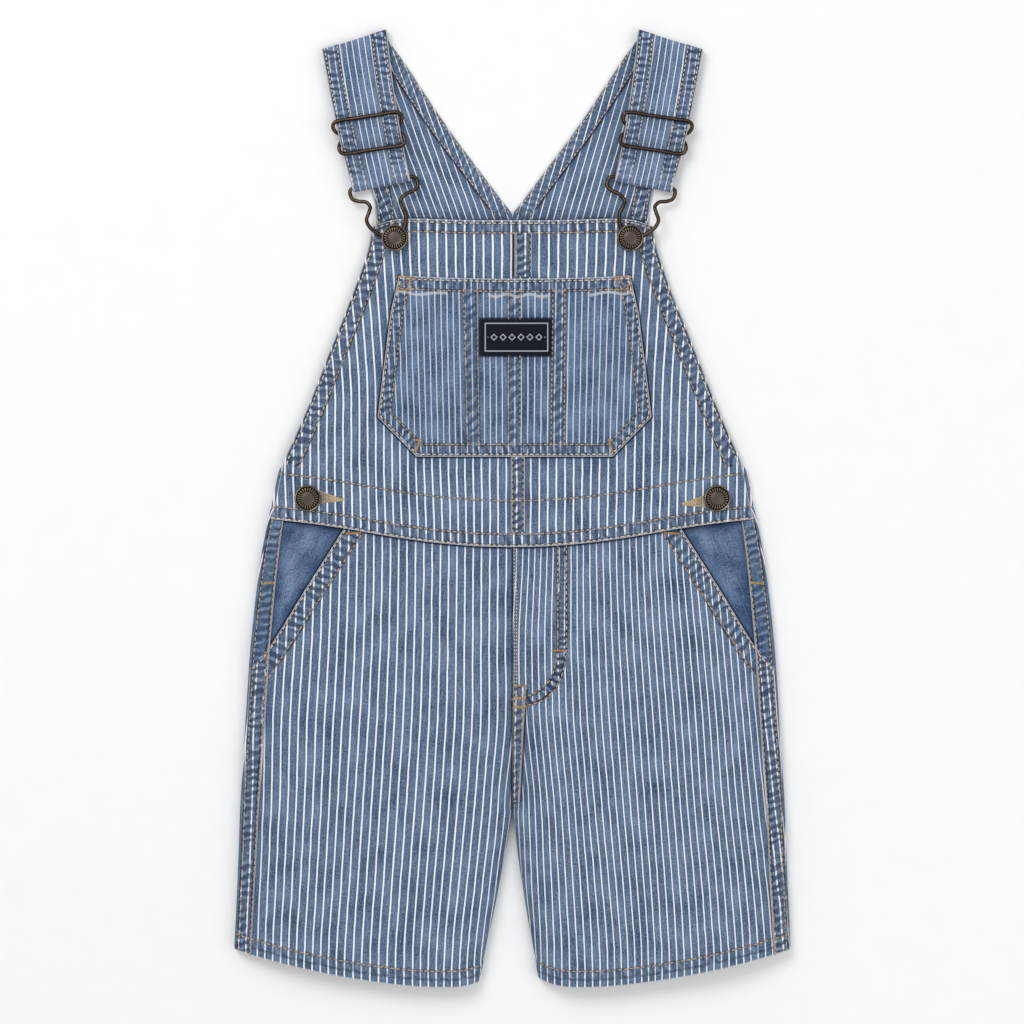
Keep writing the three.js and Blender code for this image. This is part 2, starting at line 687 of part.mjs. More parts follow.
// The section of a straight bar of wire.
function wireSection() {
  const section = new THREE.Shape();
  for (let i = 0; i < WIRE_SIDES; i += 1) {
    const angle = ((2 * Math.PI) / WIRE_SIDES) * i;
    const [x, y] = [WIRE_RADIUS * Math.cos(angle), WIRE_RADIUS * Math.sin(angle)];
    if (i) section.lineTo(x, y);
    else section.moveTo(x, y);
  }
  return section;
}

// The hook: a bar in the strap's fold, two ears, a neck and a loop round the button's shank.
function hook(side) {
  const [bar, low] = [HOOK_BAR_Z, HOOK_LOW_Z];
  const half = [
    [6, 0, bar],
    [17.4, 0, bar],
    [19.3, -0.9, bar],
    [19.9, -3.0, bar + 0.1],
    [19.3, -6.2, bar + 0.5],
    [16.2, -8.2, bar + 1.2],
    [11.6, -9.6, bar + 1.9],
    [9.0, -12.6, bar + 2.6],
    [9.8, -16.2, low - 0.4],
    [11.4, -20.0, low],
    [10.6, -24.6, low],
    [7.6, -29.0, low],
    [4.8, -32.2, low],
    [3.6, -35.4, low],
    [1.6, -37.3, low],
  ];
  const sway = (s) => HOOK_SWAY * Math.sin(Math.PI * clamp((-s - 8) / 25.5));
  return wire(
    side,
    mirrored(half).map(([a, s, z]) => [a + HOOK_IN + sway(s), s, z]),
    60,
  );
}

// A jeans button: tack under the cloth, shank through it and a dished cap on top.
function button(at, tackTop, capFoot) {
  const tackFoot = tackTop - TACK_HEIGHT;
  const profile = [
    [0, tackFoot],
    [TACK_RADIUS, tackFoot],
    [TACK_RADIUS, tackTop],
    [SHANK_RADIUS, tackTop],
    [SHANK_RADIUS, capFoot],
    [CAP_RADIUS - 0.8, capFoot],
    [CAP_RADIUS, capFoot + 0.8],
    [CAP_RADIUS - 0.1, capFoot + CAP_HEIGHT - 0.6],
    [CAP_RADIUS - 0.9, capFoot + CAP_HEIGHT],
    [CAP_RADIUS - 1.8, capFoot + CAP_HEIGHT - 0.4],
    [3.2, capFoot + CAP_HEIGHT - 0.1],
    [0, capFoot + CAP_HEIGHT],
  ].map(([r, z]) => new THREE.Vector2(r, z));
  const geometry = new THREE.LatheGeometry(profile, 20);
  geometry.rotateX(Math.PI / 2);
  geometry.translate(at.x, at.y, 0);
  return geometry;
}

// The bib pocket, with a taller grid row at its turned mouth.
function pocketGrid(low, high, lift) {
  const half = (y) => straight(POCKET_HALF, "y", "half", y);
  const deep = POCKET_HEM_DEPTH / (high - low);
  const step = HEM_STEP / (high - low);
  const rows = [0, 0.1, 0.22, 0.32, 0.44, 0.58, 0.72, 0.84, 1 - deep - step, 1 - deep, 1];
  return rows.map((v) =>
    stops(12).map((u) => {
      const across = mix(-1, 1, u);
      const y = mix(low, high - POCKET_SAG * (1 - across * across), v);
      const x = POCKET_X + across * half(mix(low, high, v));
      return new THREE.Vector3(x, y, bibHeight(Math.sign(x) || 1, Math.abs(x), y) + lift);
    }),
  );
}

function bibPocket() {
  const [low, high] = [POCKET_HALF[0].y, POCKET_HALF.at(-1).y];
  const mouth = (p) => p.y > high - POCKET_SAG - POCKET_HEM_DEPTH - 0.5;
  const lift = (p) => (mouth(p) ? HEM_RISE : 0);
  return clothWall(pocketGrid(low, high, LAYER + GAP / 2), { lift });
}

function bibLabel() {
  const rows = stops(3).map((v) =>
    stops(5).map((u) => {
      const x = LABEL.x + LABEL.width * (u - 0.5);
      const y = LABEL.y + LABEL.height * (v - 0.5);
      return new THREE.Vector3(x, y, bibHeight(Math.sign(x), Math.abs(x), y) + LAYER);
    }),
  );
  return clothWall(rows, { thickness: TRIM, lift: () => GAP + TRIM });
}

// A closed geometry as a solid that can be cut and joined, and back.
function solidOf(geometry) {
  const plain = new THREE.BufferGeometry();
  plain.setAttribute("position", geometry.attributes.position);
  plain.setIndex(geometry.index);
  const merged = mergeVertices(plain, 1e-3);
  return new wasm.Manifold(
    new wasm.Mesh({
      numProp: 3,
      vertProperties: merged.attributes.position.array,
      triVerts: new Uint32Array(merged.index.array),
    }),
  );
}

function geometryOf(solid) {
  const mesh = solid.getMesh();
  const geometry = new THREE.BufferGeometry();
  geometry.setAttribute("position", new THREE.BufferAttribute(mesh.vertProperties.slice(), 3));
  geometry.setIndex(new THREE.BufferAttribute(mesh.triVerts.slice(), 1));
  return geometry;
}

const join = (a, b) => geometryOf(solidOf(a).add(solidOf(b)));
const cut = (a, b) => geometryOf(solidOf(a).subtract(solidOf(b)));

// A round punch for a button's shank, and a long one for a buttonhole towards the centre.
function punch(at) {
  const tool = new THREE.CylinderGeometry(SHANK_HOLE, SHANK_HOLE, 40, 16);
  tool.rotateX(Math.PI / 2);
  tool.translate(at.x, at.y, 5);
  return tool;
}

function slit(side, at) {
  const tool = new THREE.BoxGeometry(BUTTONHOLE.length, BUTTONHOLE.width, 40);
  tool.translate(-BUTTONHOLE.length / 2, 0, 5);
  tool.rotateZ(-Math.atan(BUTTONHOLE.slope));
  if (side < 0) tool.rotateY(Math.PI);
  tool.translate(at.x, at.y, 0);
  return tool;
}

const denim = new THREE.MeshStandardMaterial({ color: 0x6f8cb4, roughness: 0.92, metalness: 0 });
const plainDenim = new THREE.MeshStandardMaterial({ color: 0x52719f, roughness: 0.92, metalness: 0 });
const labelCloth = new THREE.MeshStandardMaterial({ color: 0x10182c, roughness: 0.7, metalness: 0 });
const darkBrass = new THREE.MeshStandardMaterial({ color: 0x4a3f34, roughness: 0.45, metalness: 1 });

const overalls = new THREE.Group();

function place(name, geometry, material) {
  const mesh = new THREE.Mesh(geometry, material);
  mesh.name = name;
  overalls.add(mesh);
}

for (const [side, name] of [
  [-1, "left"],
  [1, "right"],
]) {
  const stud = strapFrame(HOOK_IN, BUTTON_S);
  const bibStud = { x: side * stud.q, y: stud.y };
  const sideStud = { x: side * SIDE_BUTTON.q, y: SIDE_BUTTON.y };
  const bibAtStud = bibHeight(side, stud.q, stud.y);
  const bibAtSide = bibHeight(side, SIDE_BUTTON.q, SIDE_BUTTON.y);
  const punched = cut(cut(bibHalf(side), punch(bibStud)), punch(sideStud));
  place(`bib_${name}`, cut(punched, slit(side, sideStud)), denim);
  place(`leg_front_${name}`, frontLeg(side), denim);
  place(`leg_back_${name}`, backLeg(side), denim);
  place(`outseam_${name}`, outseamStrip(side), denim);
  place(`hip_facing_${name}`, hipFacing(side), plainDenim);
  place(`back_${name}`, backHalf(side), denim);
  place(`side_tab_${name}`, cut(sideTab(side), punch(sideStud)), denim);
  place(`strap_${name}`, strap(side), denim);
  place(`slide_${name}`, slide(side), darkBrass);
  place(`hook_${name}`, hook(side), darkBrass);
  const tackUnderBib = bibAtStud - WALL - GAP - 0.8;
  const capOverHook = HOOK_LOW_Z + WIRE_RADIUS + GAP;
  place(`bib_button_${name}`, button(bibStud, tackUnderBib, capOverHook), darkBrass);
  const tackUnderTab = bibAtSide - LAYER - WALL - GAP - 1.2;
  place(`side_button_${name}`, button(sideStud, tackUnderTab, bibAtSide + 1.4), darkBrass);
}

const onBib = (q, y) => bibHeight(1, q, y);
const onFront = (q, y) => frontHeight(1, q, y);
place("bib_fell_upper", centreStrip(5, 136.4, 158.8, onBib, 1.2, 11.0), denim);
place("bib_fell_lower", centreStrip(5, -13.4, 27.0, onBib), denim);
place("rise_fell", centreStrip(10, CROTCH_Y + 4, -104, onFront), denim);
place("bib_pocket", bibPocket(), denim);
place("bib_label", bibLabel(), labelCloth);

export default overalls;
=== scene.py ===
# %% [markdown]
# # Kids bib overalls with short legs, laid out flat
# A lesson in cloth. The garment is sewn from striped denim, washed after it was sewn, and laid on
# its back. Each panel is made as a thin closed shell on its own form, the sewing follows the panels
# with Geometry Nodes, and the metal is swept and turned. Work is in millimetres until a mesh is made.

import functools
import math

import bpy
import numpy as np
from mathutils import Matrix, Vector
from mathutils.bvhtree import BVHTree


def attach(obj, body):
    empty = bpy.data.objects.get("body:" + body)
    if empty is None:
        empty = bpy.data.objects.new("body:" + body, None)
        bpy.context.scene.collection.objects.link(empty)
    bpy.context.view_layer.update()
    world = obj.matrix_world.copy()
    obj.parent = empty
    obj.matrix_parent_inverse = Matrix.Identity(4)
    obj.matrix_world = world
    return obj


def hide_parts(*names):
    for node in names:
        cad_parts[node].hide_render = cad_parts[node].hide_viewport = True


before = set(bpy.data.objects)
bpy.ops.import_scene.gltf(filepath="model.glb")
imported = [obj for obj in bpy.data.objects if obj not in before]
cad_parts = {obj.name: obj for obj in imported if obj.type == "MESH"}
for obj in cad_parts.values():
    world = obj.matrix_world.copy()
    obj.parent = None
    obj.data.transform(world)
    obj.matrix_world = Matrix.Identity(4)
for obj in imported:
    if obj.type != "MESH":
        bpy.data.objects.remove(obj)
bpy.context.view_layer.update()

# %% [markdown]
# ## Reading sizes from tables
# A pattern cutter keeps a few measured stations and draws a smooth line through them. The same is
# done here: a short table of stations, and one function that reads a smooth curve through them. A
# spline object could do it too, but a function can be read at thousands of points at once.

# %% Tables and smooth curves
def along(rows, at):
    """A smooth line through the table's rows of (place, value), read at many places."""
    rows = np.asarray(rows, float)
    key, value = rows[:, 0], rows[:, 1]
    n = len(rows)
    low, high = np.clip(np.arange(n) - 1, 0, n - 1), np.clip(np.arange(n) + 1, 0, n - 1)
    slope = (value[high] - value[low]) / (key[high] - key[low])
    at = np.asarray(at, float)
    i = np.clip(np.searchsorted(key, at, side="left") - 1, 0, n - 2)
    span = key[i + 1] - key[i]
    t = np.clip((at - key[i]) / span, 0, 1)
    t2, t3 = t * t, t * t * t
    start = (2 * t3 - 3 * t2 + 1) * value[i] + (t3 - 2 * t2 + t) * span * slope[i]
    return start + (3 * t2 - 2 * t3) * value[i + 1] + (t3 - t2) * span * slope[i + 1]


def ease(t):
    t = np.clip(t, 0, 1)
    return t * t * (3 - 2 * t)


def mix(a, b, t):
    return a + (b - a) * t


# y, half width, crown, edge, rise, round
SECTIONS = np.array(
    [
        (-278, 162.4, 13.2, 4.2, 40, 0.7),
        (-256.7, 161.8, 13.8, 4.3, 41, 0.7),
        (-227.7, 160.4, 14.4, 4.4, 42, 0.7),
        (-198.7, 159.2, 14.8, 4.4, 42, 0.7),
        (-169.7, 158.1, 14.6, 4.4, 42, 0.7),
        (-123.3, 155.2, 13.8, 4.4, 42, 0.7),
        (-76.9, 152.0, 12.8, 4.3, 40, 0.7),
        (-30.5, 146.5, 11.8, 4.2, 38, 0.7),
        (-7.3, 142.1, 11.5, 4.2, 36, 0.7),
        (4.3, 139.5, 11.3, 4.1, 35, 0.7),
        (16, 137.2, 11.0, 4.0, 34, 0.75),
        (22, 135.7, 10.8, 3.6, 34, 0.85),
        (27.5, 133.0, 10.6, 3.0, 34, 1),
        (50.7, 122.7, 9.8, 2.8, 32, 1),
        (97.1, 104.1, 8.4, 2.6, 30, 1),
        (143.5, 86.4, 6.4, 2.4, 28, 1),
        (167, 81.0, 5.4, 2.4, 28, 1),
    ]
)
WAIST_SEAM = [(0, -22.9), (20, -22.4), (45, -20.3), (70, -16.8), (98.6, -11.9), (120, -8.9), (145, -6.2)]
BIB_TOP = [(0, 166.8), (30, 167.0), (58, 167.8), (70, 167.0), (81, 163.6)]
BIB_SIDE = [(-8, 140.2), (4.3, 137.2), (16, 135.0), (27.5, 132.6)]
HIP_POCKET_EDGE = [(-96, 154.0), (-83, 142.5), (-45, 118.5), (0, 90.0)]
NECK_V = [
    (170.8, 0.15), (178.4, 5.8), (196.9, 19.7), (215.5, 33.6), (234, 46.4), (252.6, 58.6), (274.0, 72.4),
]  # fmt: skip
ARMHOLE = [
    (24, 128.6), (39.2, 122), (62.4, 111.5), (91.4, 99.5), (120.4, 89),
    (149.4, 81), (170, 79.5), (190, 83.5), (213, 92.8), (242, 102.7), (264, 108.5),
]  # fmt: skip
FOLDS = [  # x0, y0, x1, y1, width, height
    (-110, -138, -112, -176, 7, -0.9),
    (-12, -168, -62, -128, 10, 0.9),
    (12, -170, 58, -134, 9, 1.0),
    (36, -150, 28, -205, 8, -0.9),
    (-40, -200, -30, -262, 11, 0.8),
    (96, -214, 118, -258, 10, 0.8),
    (-96, 60, -70, 10, 9, 0.7),
    (100, 56, 76, 12, 9, -0.6),
]
WALL, LAYER, BIB_CLEAR, HEM_RISE = 1.2, 1.5, 0.25, 0.5
CROTCH_Y, HEM_Y, WAIST_LAP = -176.6, -278.1, 7.0
OUTSEAM_SPLIT, INSEAM_TUCK, INSEAM_RAMP, INNER_ROUND = 4.8, 7.0, 25.0, 20.0


def outline(y):
    return along(SECTIONS[:, [0, 1]], y)


def waist_seam(q):
    return along(WAIST_SEAM, q)


def bib_top(q):
    return along(BIB_TOP, q)


def bib_side(y):
    return np.where(np.asarray(y) > 27.5, outline(y) - 0.4, along(BIB_SIDE, y))


def pocket_edge(y):
    return along(HIP_POCKET_EDGE, y)


def inside_leg(side, y):
    below = np.maximum(0, CROTCH_Y - np.asarray(y, float))
    lean, curve = (0.16, 0.00043) if side < 0 else (0.111, 0.00052)
    return lean * below + curve * below**2


def leg_hem(q):
    q = np.asarray(q, float)
    return HEM_Y + 0.01053 * np.maximum(0, q - 45) ** 1.6 + 0.012 * np.maximum(0, 35 - q) ** 2


print("outline at the hems:", round(2 * float(outline(-278)), 1), "mm")

# %% [markdown]
# ## How high the cloth lies
# A garment laid on a table is not flat: its front stands as a low dome over the air inside, falls
# fast at the outer fold and rolls softly down at the inside of each leg. The same few sizes as the
# solids' give that height, and the fine shells below only add the small creases to it.

# %% Heights of the front and of the back
def dome(t, power):
    return (1 - (1 - np.clip(t, 0, 1)) ** 2) ** power


def fold_height(x, y):
    height = np.zeros(np.broadcast(x, y).shape)
    for x0, y0, x1, y1, width, high in FOLDS:
        dx, dy = x1 - x0, y1 - y0
        t = np.clip(((x - x0) * dx + (y - y0) * dy) / (dx * dx + dy * dy), 0, 1)
        away = np.hypot(x - x0 - t * dx, y - y0 - t * dy)
        height += high * np.exp(-((away / width) ** 2)) * (0.5 + 0.5 * np.sin(np.pi * t))
    return height


def front_height(side, q, y):
    crown, edge, rise, power = (along(SECTIONS[:, [0, k]], y) for k in (2, 3, 4, 5))
    outer = dome((outline(y) - q) / rise, power)
    above = np.asarray(y - CROTCH_Y, float)
    soft = 8 * np.clip(above / 15, 0, 1)
    from_inside = np.where(above < 0, q - inside_leg(side, y), np.hypot(q, soft) - soft)
    valley = np.where(above < 0, 1, 1 - ease(above / 95))
    inner = 1 - valley * (1 - dome(from_inside / INNER_ROUND, 0.5))
    return edge + (crown - edge + fold_height(side * q, y)) * outer * inner


def back_height(side, q, y):
    edge = along(SECTIONS[:, [0, 3]], y)
    inside = np.where(y < CROTCH_Y, q - inside_leg(side, y), np.hypot(q, y - CROTCH_Y))
    away = np.clip(np.minimum(outline(y) - q, inside), 0, edge)
    return edge - np.sqrt(np.maximum(edge**2 - (edge - away) ** 2, 0))


def bib_height(side, q, y):
    return front_height(side, q, y) + LAYER + BIB_CLEAR


# %% [markdown]
# ## Rows of points across a panel
# Each panel is a grid: rows go up the garment, and each row runs over the cloth from seam to seam,
# round the rolled edges too. Points are spread evenly along the cloth itself, so that stripes crowd
# where the cloth turns away from the eye, as they do on the real one.

# %% Spreading points and reading rows
def spread(line, count):
    lengths = np.concatenate([[0], np.cumsum(np.linalg.norm(np.diff(line, axis=0), axis=1))])
    want = np.linspace(0, lengths[-1], count + 1)
    return np.stack([np.interp(want, lengths, line[:, k]) for k in range(3)], axis=1)


def leg_row_y(q, v):
    return mix(leg_hem(q), waist_seam(q) + WAIST_LAP, v)


def meet(boundary, v, start):
    q = float(start)
    for _ in range(9):
        q = float(boundary(float(leg_row_y(q, v))))
    return q


def stretch(side, start, end, v, height, power=1):
    t = np.linspace(0, 1, 61)
    q = mix(start, end, 1 - (1 - t) ** power)
    y = leg_row_y(q, v)
    return np.stack([side * q, y, height(side, q, y)], axis=1)


def joined_row(*stretches):
    return np.concatenate([spread(line, n)[(1 if i else 0) :] for i, (line, n) in enumerate(stretches)])


# %% [markdown]
# ## Creases that come from sewing
# Double-stitched denim shrinks in the wash, but its thread doesn't. The hem between two rows of
# stitches puckers into short slanted ridges, the wash rubs the ridges pale and leaves the hollows
# dark. One function gives a panel both: how far each point stands out, and how far it is a ridge.
# A noise texture in the shader could tint it, but then the shade and the form wouldn't agree.

# %% Puckers along seams and slack in the panels
rng = np.random.default_rng(7)
WAVES = [(rng.uniform(0, 2 * np.pi), rng.uniform(28, 85), rng.uniform(0, 2 * np.pi)) for _ in range(22)]


def slack(x, y):
    """Soft unevenness of cloth that lies loose, in mm."""
    total = np.zeros(np.shape(x))
    for turn, length, phase in WAVES:
        total += np.sin(2 * np.pi * (x * np.cos(turn) + y * np.sin(turn)) / length + phase)
    return 0.075 * total


def beside(line, x, y):
    """For each point, the distance to a line of (x, y) stations, its side and how far along it is."""
    line = np.asarray(line, float)
    best = np.full(np.shape(x), 1e9)
    run, sign = np.zeros(np.shape(x)), np.ones(np.shape(x))
    start = 0.0
    for (x0, y0), (x1, y1) in zip(line[:-1], line[1:]):
        dx, dy = x1 - x0, y1 - y0
        long = math.hypot(dx, dy)
        t = np.clip(((x - x0) * dx + (y - y0) * dy) / long**2, 0, 1)
        ox, oy = x - x0 - t * dx, y - y0 - t * dy
        away = np.hypot(ox, oy)
        near = away < best
        best = np.where(near, away, best)
        run = np.where(near, start + t * long, run)
        sign = np.where(near, np.sign(dx * oy - dy * ox), sign)
        start += long
    return best, sign, run


def seam_field(bands, x, y):
    """What the seams do at each point. high is the pucker's height in mm and ridge its rise from -1 to 1.
    seam is 1 within a seam, off is the distance from its middle and half that of its two rows, in mm.
    run counts the ridges along it."""
    field = {key: np.zeros(np.shape(x)) for key in ("high", "ridge", "seam", "off", "half", "run")}
    best = np.full(np.shape(x), 1e9)
    for k, (line, half, pitch, high, slant, tint) in enumerate(bands):
        away, sign, run = beside(line, x, y)
        d = sign * away
        inside = 1 - ease((away - half - 0.5) / 1.6)
        jitter = 1.0 * np.sin(run / 13.7 + 2.1 * k) + 0.7 * np.sin(run / 5.3 + k)
        place = (run + slant * d + jitter) / pitch
        wave = 0.7 * np.cos(2 * np.pi * place)
        wave += 0.4 * np.sin(2 * np.pi * (run - 0.5 * slant * d) / (pitch * 0.61) + 1.3 * k)
        wave *= 0.7 + 0.3 * np.sin(run / 21.0 + 3.7 * k) + 0.25 * np.sin(run / 7.9 + d)
        field["high"] += high * wave * inside
        nearer = away - half < best
        best = np.where(nearer, away - half, best)
        marks = {"ridge": wave, "seam": inside * tint, "off": d, "half": half, "run": place}
        for key, value in marks.items():
            field[key] = np.where(nearer, value, field[key])
    return field


# %% [markdown]
# ## A panel as a closed shell
# Cloth has two faces and a cut edge. The grid is the outer face. The inner face is the same grid
# moved in by the cloth's thickness, and a rim closes them. A Solidify modifier would do as much, but
# its rim can't be rounded over as a turned hem is. The panel also carries the place of each point in
# the flat cut: the stripes and the weave follow that, and not the room.

# %% Making the shell
MM = 0.001
FAR = 99.0  # the distance noted where a point is beside no edge
SIDES = ((-1, "left"), (1, "right"))
panels, sheets = {}, []


def smoothed(obj, angle=50):
    obj.data.polygons.foreach_set("use_smooth", [True] * len(obj.data.polygons))
    obj.data.set_sharp_from_angle(angle=math.radians(angle))
    return obj


def new_object(name, vertices, faces, material=None):
    mesh = bpy.data.meshes.new(name)
    mesh.from_pydata([tuple(v) for v in np.asarray(vertices, float) * MM], [], faces)
    mesh.update()
    obj = bpy.data.objects.new(name, mesh)
    bpy.context.scene.collection.objects.link(obj)
    if material:
        mesh.materials.append(material)
    return obj


def normals_of(grid):
    across = np.gradient(grid, axis=1)
    up = np.gradient(grid, axis=0)
    n = np.cross(across, up)
    return n / np.maximum(np.linalg.norm(n, axis=2, keepdims=True), 1e-9)


def shell_faces(rows, cols):
    i, j = np.meshgrid(np.arange(rows - 1), np.arange(cols - 1), indexing="ij")
    a = (i * cols + j).ravel()
    outer = np.stack([a, a + 1, a + cols + 1, a + cols], axis=1)
    n = rows * cols
    inner = outer[:, ::-1] + n
    edge = np.concatenate(
        [
            np.arange(cols),
            np.arange(1, rows) * cols + cols - 1,
            (rows - 1) * cols + np.arange(cols - 2, -1, -1),
            np.arange(rows - 2, 0, -1) * cols,
        ]
    )
    nxt = np.roll(edge, -1)
    rim = np.stack([edge, edge + n, nxt + n, nxt], axis=1)
    return np.concatenate([outer, inner, rim])


def cloth(
    name, grid, stripe=0.0, gauge=4.0, bands=(), field=None, lift=0.0, under=FAR, rim=FAR, turned="",
    flip=False, thick=WALL, wrinkle=1.0, roll=0.3,
):  # fmt: skip
    """grid is (rows, columns, 3) in mm. stripe counts the stripes at each point and gauge is one in mm.
    lift is how far a point stands out before its creases, and under how far it is from the edge of
    what lies over it, where the denim paints its shadow. rim is how far it is from an edge across the
    panel, and turned names the turned edges: first and last column, bottom and top row."""
    rows, cols = grid.shape[:2]
    field = dict(field or seam_field(bands, grid[..., 0], grid[..., 1]))
    field.update(stripe=stripe, gauge=gauge, under=under, rim=rim, lift=lift)
    field = {key: np.broadcast_to(value, (rows, cols)) for key, value in field.items()}
    if flip:
        grid, field = grid[:, ::-1], {key: value[:, ::-1] for key, value in field.items()}
        turned = turned.translate(str.maketrans("fl", "lf"))
    n = normals_of(grid)
    facing_up = ease((n[..., 2] - 0.05) / 0.4)
    out = field["lift"] + (field["high"] + wrinkle * slack(grid[..., 0], grid[..., 1])) * facing_up
    at_rim = np.zeros((rows, cols))
    at_rim[[0, -1]] = at_rim[:, [0, -1]] = 1
    outer = grid + n * (out - roll * at_rim)[..., None]
    inner = grid + n * (out - thick)[..., None]
    across = np.linalg.norm(np.diff(outer, axis=1), axis=2)
    s = np.concatenate([np.zeros((rows, 1)), np.cumsum(across, axis=1)], axis=1)
    up = np.linalg.norm(np.diff(outer, axis=0), axis=2)
    t = np.concatenate([np.zeros((1, cols)), np.cumsum(up, axis=0)], axis=0)
    rim = field["rim"]
    for letter, gap in (("f", s), ("l", s[:, -1:] - s), ("b", t), ("t", t[-1:] - t)):
        if letter in turned:
            rim = np.minimum(rim, gap)
    vertices = np.concatenate([outer.reshape(-1, 3), inner.reshape(-1, 3)])
    obj = new_object(name, vertices, shell_faces(rows, cols).tolist())
    mesh = obj.data
    corner = np.empty(len(mesh.loops), np.int32)
    mesh.loops.foreach_get("vertex_index", corner)
    middle = slice(cols // 2, cols // 2 + 1)
    cut_x, cut_y = (s - s[:, middle]).ravel(), np.repeat(t[:, middle], cols, axis=1).ravel()
    flat = np.stack([np.tile(cut_x, 2), np.tile(cut_y, 2)], axis=1)
    mesh.uv_layers.new(name="cut").data.foreach_set("uv", (flat * MM)[corner].astype(np.float32).ravel())
    field["rim"] = rim
    for key in ("stripe", "gauge", "ridge", "seam", "off", "half", "run", "under", "rim"):
        layer = mesh.attributes.new(key, "FLOAT", "POINT")
        # Nothing lies over the inner face.
        inside = np.full((rows, cols), FAR) if key == "under" else field[key]
        both_faces = np.concatenate([field[key].ravel(), inside.ravel()])
        layer.data.foreach_set("value", both_faces.astype(np.float32))
    panels[name] = obj
    cross = np.cross(outer[1:, 1:] - outer[:-1, :-1], outer[1:, :-1] - outer[:-1, 1:])
    area = float(0.5 * np.linalg.norm(cross, axis=2).sum())
    sheets.append((obj, max(float(across.sum(1).max()), 10.5), max(float(t.max()), 10.5), area))
    return smoothed(obj)


everywhere = np.meshgrid(np.arange(-150, 150), np.arange(-278, 160))
print("largest slack:", round(float(np.abs(slack(*everywhere)).max()), 2), "mm")

# %% [markdown]
# ## Legs
# Each leg is a front and a back panel, joined at the outseam on top of the outer fold and at the
# inseam, which hides underneath. The front rolls round the inside edge. Stripes were cut straight
# down the panel, so they lean out with it below the knee of the pattern.

# %% Front legs
LEFT_LEG_COURSE = [  # y, then where every eighth stripe runs
    (-257.3, 21.3, 57.7, 97.5, 135.6, 173.6),
    (-216.6, 16.3, 54.7, 94.5, 133.1, 171.9),
    (-170.2, 11.4, 51.0, 91.6, 130.7, 170.7),
    (-123.7, 7.7, 47.9, 88.5, 129.8, 170.7),
    (-77.2, 8.4, 46.6, 86.2, 126.7, 167.2),
    (-30.8, 7.8, 46.1, 85.1, 125.1, 165.2),
]
RIGHT_LEG_COURSE = [
    (-257.3, 19.5, 55.0, 86.6, 121.7, 157.4),
    (-216.6, 18.0, 51.5, 84.0, 118.5, 153.4),
    (-170.2, 16.1, 47.0, 80.5, 113.6, 147.3),
    (-123.7, 11.3, 42.8, 77.2, 110.7, 142.3),
    (-77.2, 10.5, 40.9, 73.8, 106.6, 138.3),
    (-30.8, 12.5, 40.5, 71.5, 102.2, 133.6),
]
LEG_PITCH = {-1: 4.98, 1: 4.15}
THINNER = {-1: 1.0, 1: 1.3}  # the stripes are thinner on the front right leg than their spacing asks
LEG_HEM_DEPTH = 9.5


def counted(course, q, y):
    """The count of stripes at a point, read between the table's rows and its stripes."""
    course, q, total = np.array(course), q[..., None], 0
    for shift in (-9, 0, 9):  # an average of three heights rounds the corners off the table
        at = np.clip(y + shift, course[0, 0], course[-1, 0])
        i = np.clip(np.searchsorted(course[:, 0], at) - 1, 0, len(course) - 2)
        t = (at - course[i, 0]) / (course[i + 1, 0] - course[i, 0])
        places = mix(course[i, 1:], course[i + 1, 1:], t[..., None])
        k = np.clip((q >= places).sum(axis=-1, keepdims=True) - 1, 0, places.shape[-1] - 2)
        low, high = np.take_along_axis(places, k, -1), np.take_along_axis(places, k + 1, -1)
        total = total + 8 * (k + (q - low) / (high - low)) + 0.5
    return total[..., 0] / 3


def leg_stripe(side, grid):
    """Stripes are counted along the cloth from a station on its flat part."""
    q, y = np.abs(grid[..., 0]), grid[..., 1]
    step = np.linalg.norm(np.diff(grid, axis=1), axis=2)
    run = np.concatenate([np.zeros((len(grid), 1)), np.cumsum(step, axis=1)], axis=1)
    at, row = np.abs(q - 85).argmin(axis=1), np.arange(len(grid))
    turn = np.where(grid[:, 0, 0] * side > grid[:, -1, 0] * side, -1, 1)
    flat = q[row, at][:, None] + turn[:, None] * (run - run[row, at][:, None])
    return counted(LEFT_LEG_COURSE if side < 0 else RIGHT_LEG_COURSE, flat, y)


def front_leg_row(side, v):
    start = meet(lambda y: min(outline(y) - OUTSEAM_SPLIT, pocket_edge(y)), v, 130)
    end = max(meet(lambda y: inside_leg(side, y), v, 5), 0.15)
    below = CROTCH_Y - float(leg_row_y(end, v))
    roll = 1.5 * (1 - ease(below / 10)) if below > 0 else 1.5 + 7.5 * ease(-below / 25)
    tuck = INSEAM_TUCK * float(ease(below / INSEAM_RAMP))
    last, round_at = end + roll, end + INNER_ROUND + 2
    under = stretch(side, last, end, v, front_height, 2)
    if tuck > 0:
        under = np.concatenate([under, stretch(side, end + tuck, end, v, back_height, 2)[::-1][1:]])
    return joined_row(
        (stretch(side, start, start - 6, v, front_height), 5),
        (stretch(side, start - 6, round_at, v, front_height), 72),
        (stretch(side, round_at, last, v, front_height, 2), 22),
        (under, 12),
    )


def leg_hem_line(side, up, q0=None, q1=None, count=40):
    q0 = max(float(inside_leg(side, -275)), 0.5) + 1 if q0 is None else q0
    q = np.linspace(q0, 160.5 if q1 is None else q1, count)
    return np.stack([side * q, leg_hem(q) + up], axis=1)


def hip_line(side, shift, low=-90.0, high=-12.0, count=20):
    y = np.linspace(low, high, count)
    return np.stack([side * (pocket_edge(y) - shift), y], axis=1)


def below_waist(q, y):
    return np.maximum(0, waist_seam(q) - y)


def outseam_inset(y):
    return along([(-278, 10.2), (-216, 10.8), (-139, 11.7), (-78, 11.6), (-30, 10.6), (-8, 9.4)], y)


def beside_outseam(q, y):
    return np.maximum(0, outline(y) - outseam_inset(y) - q)


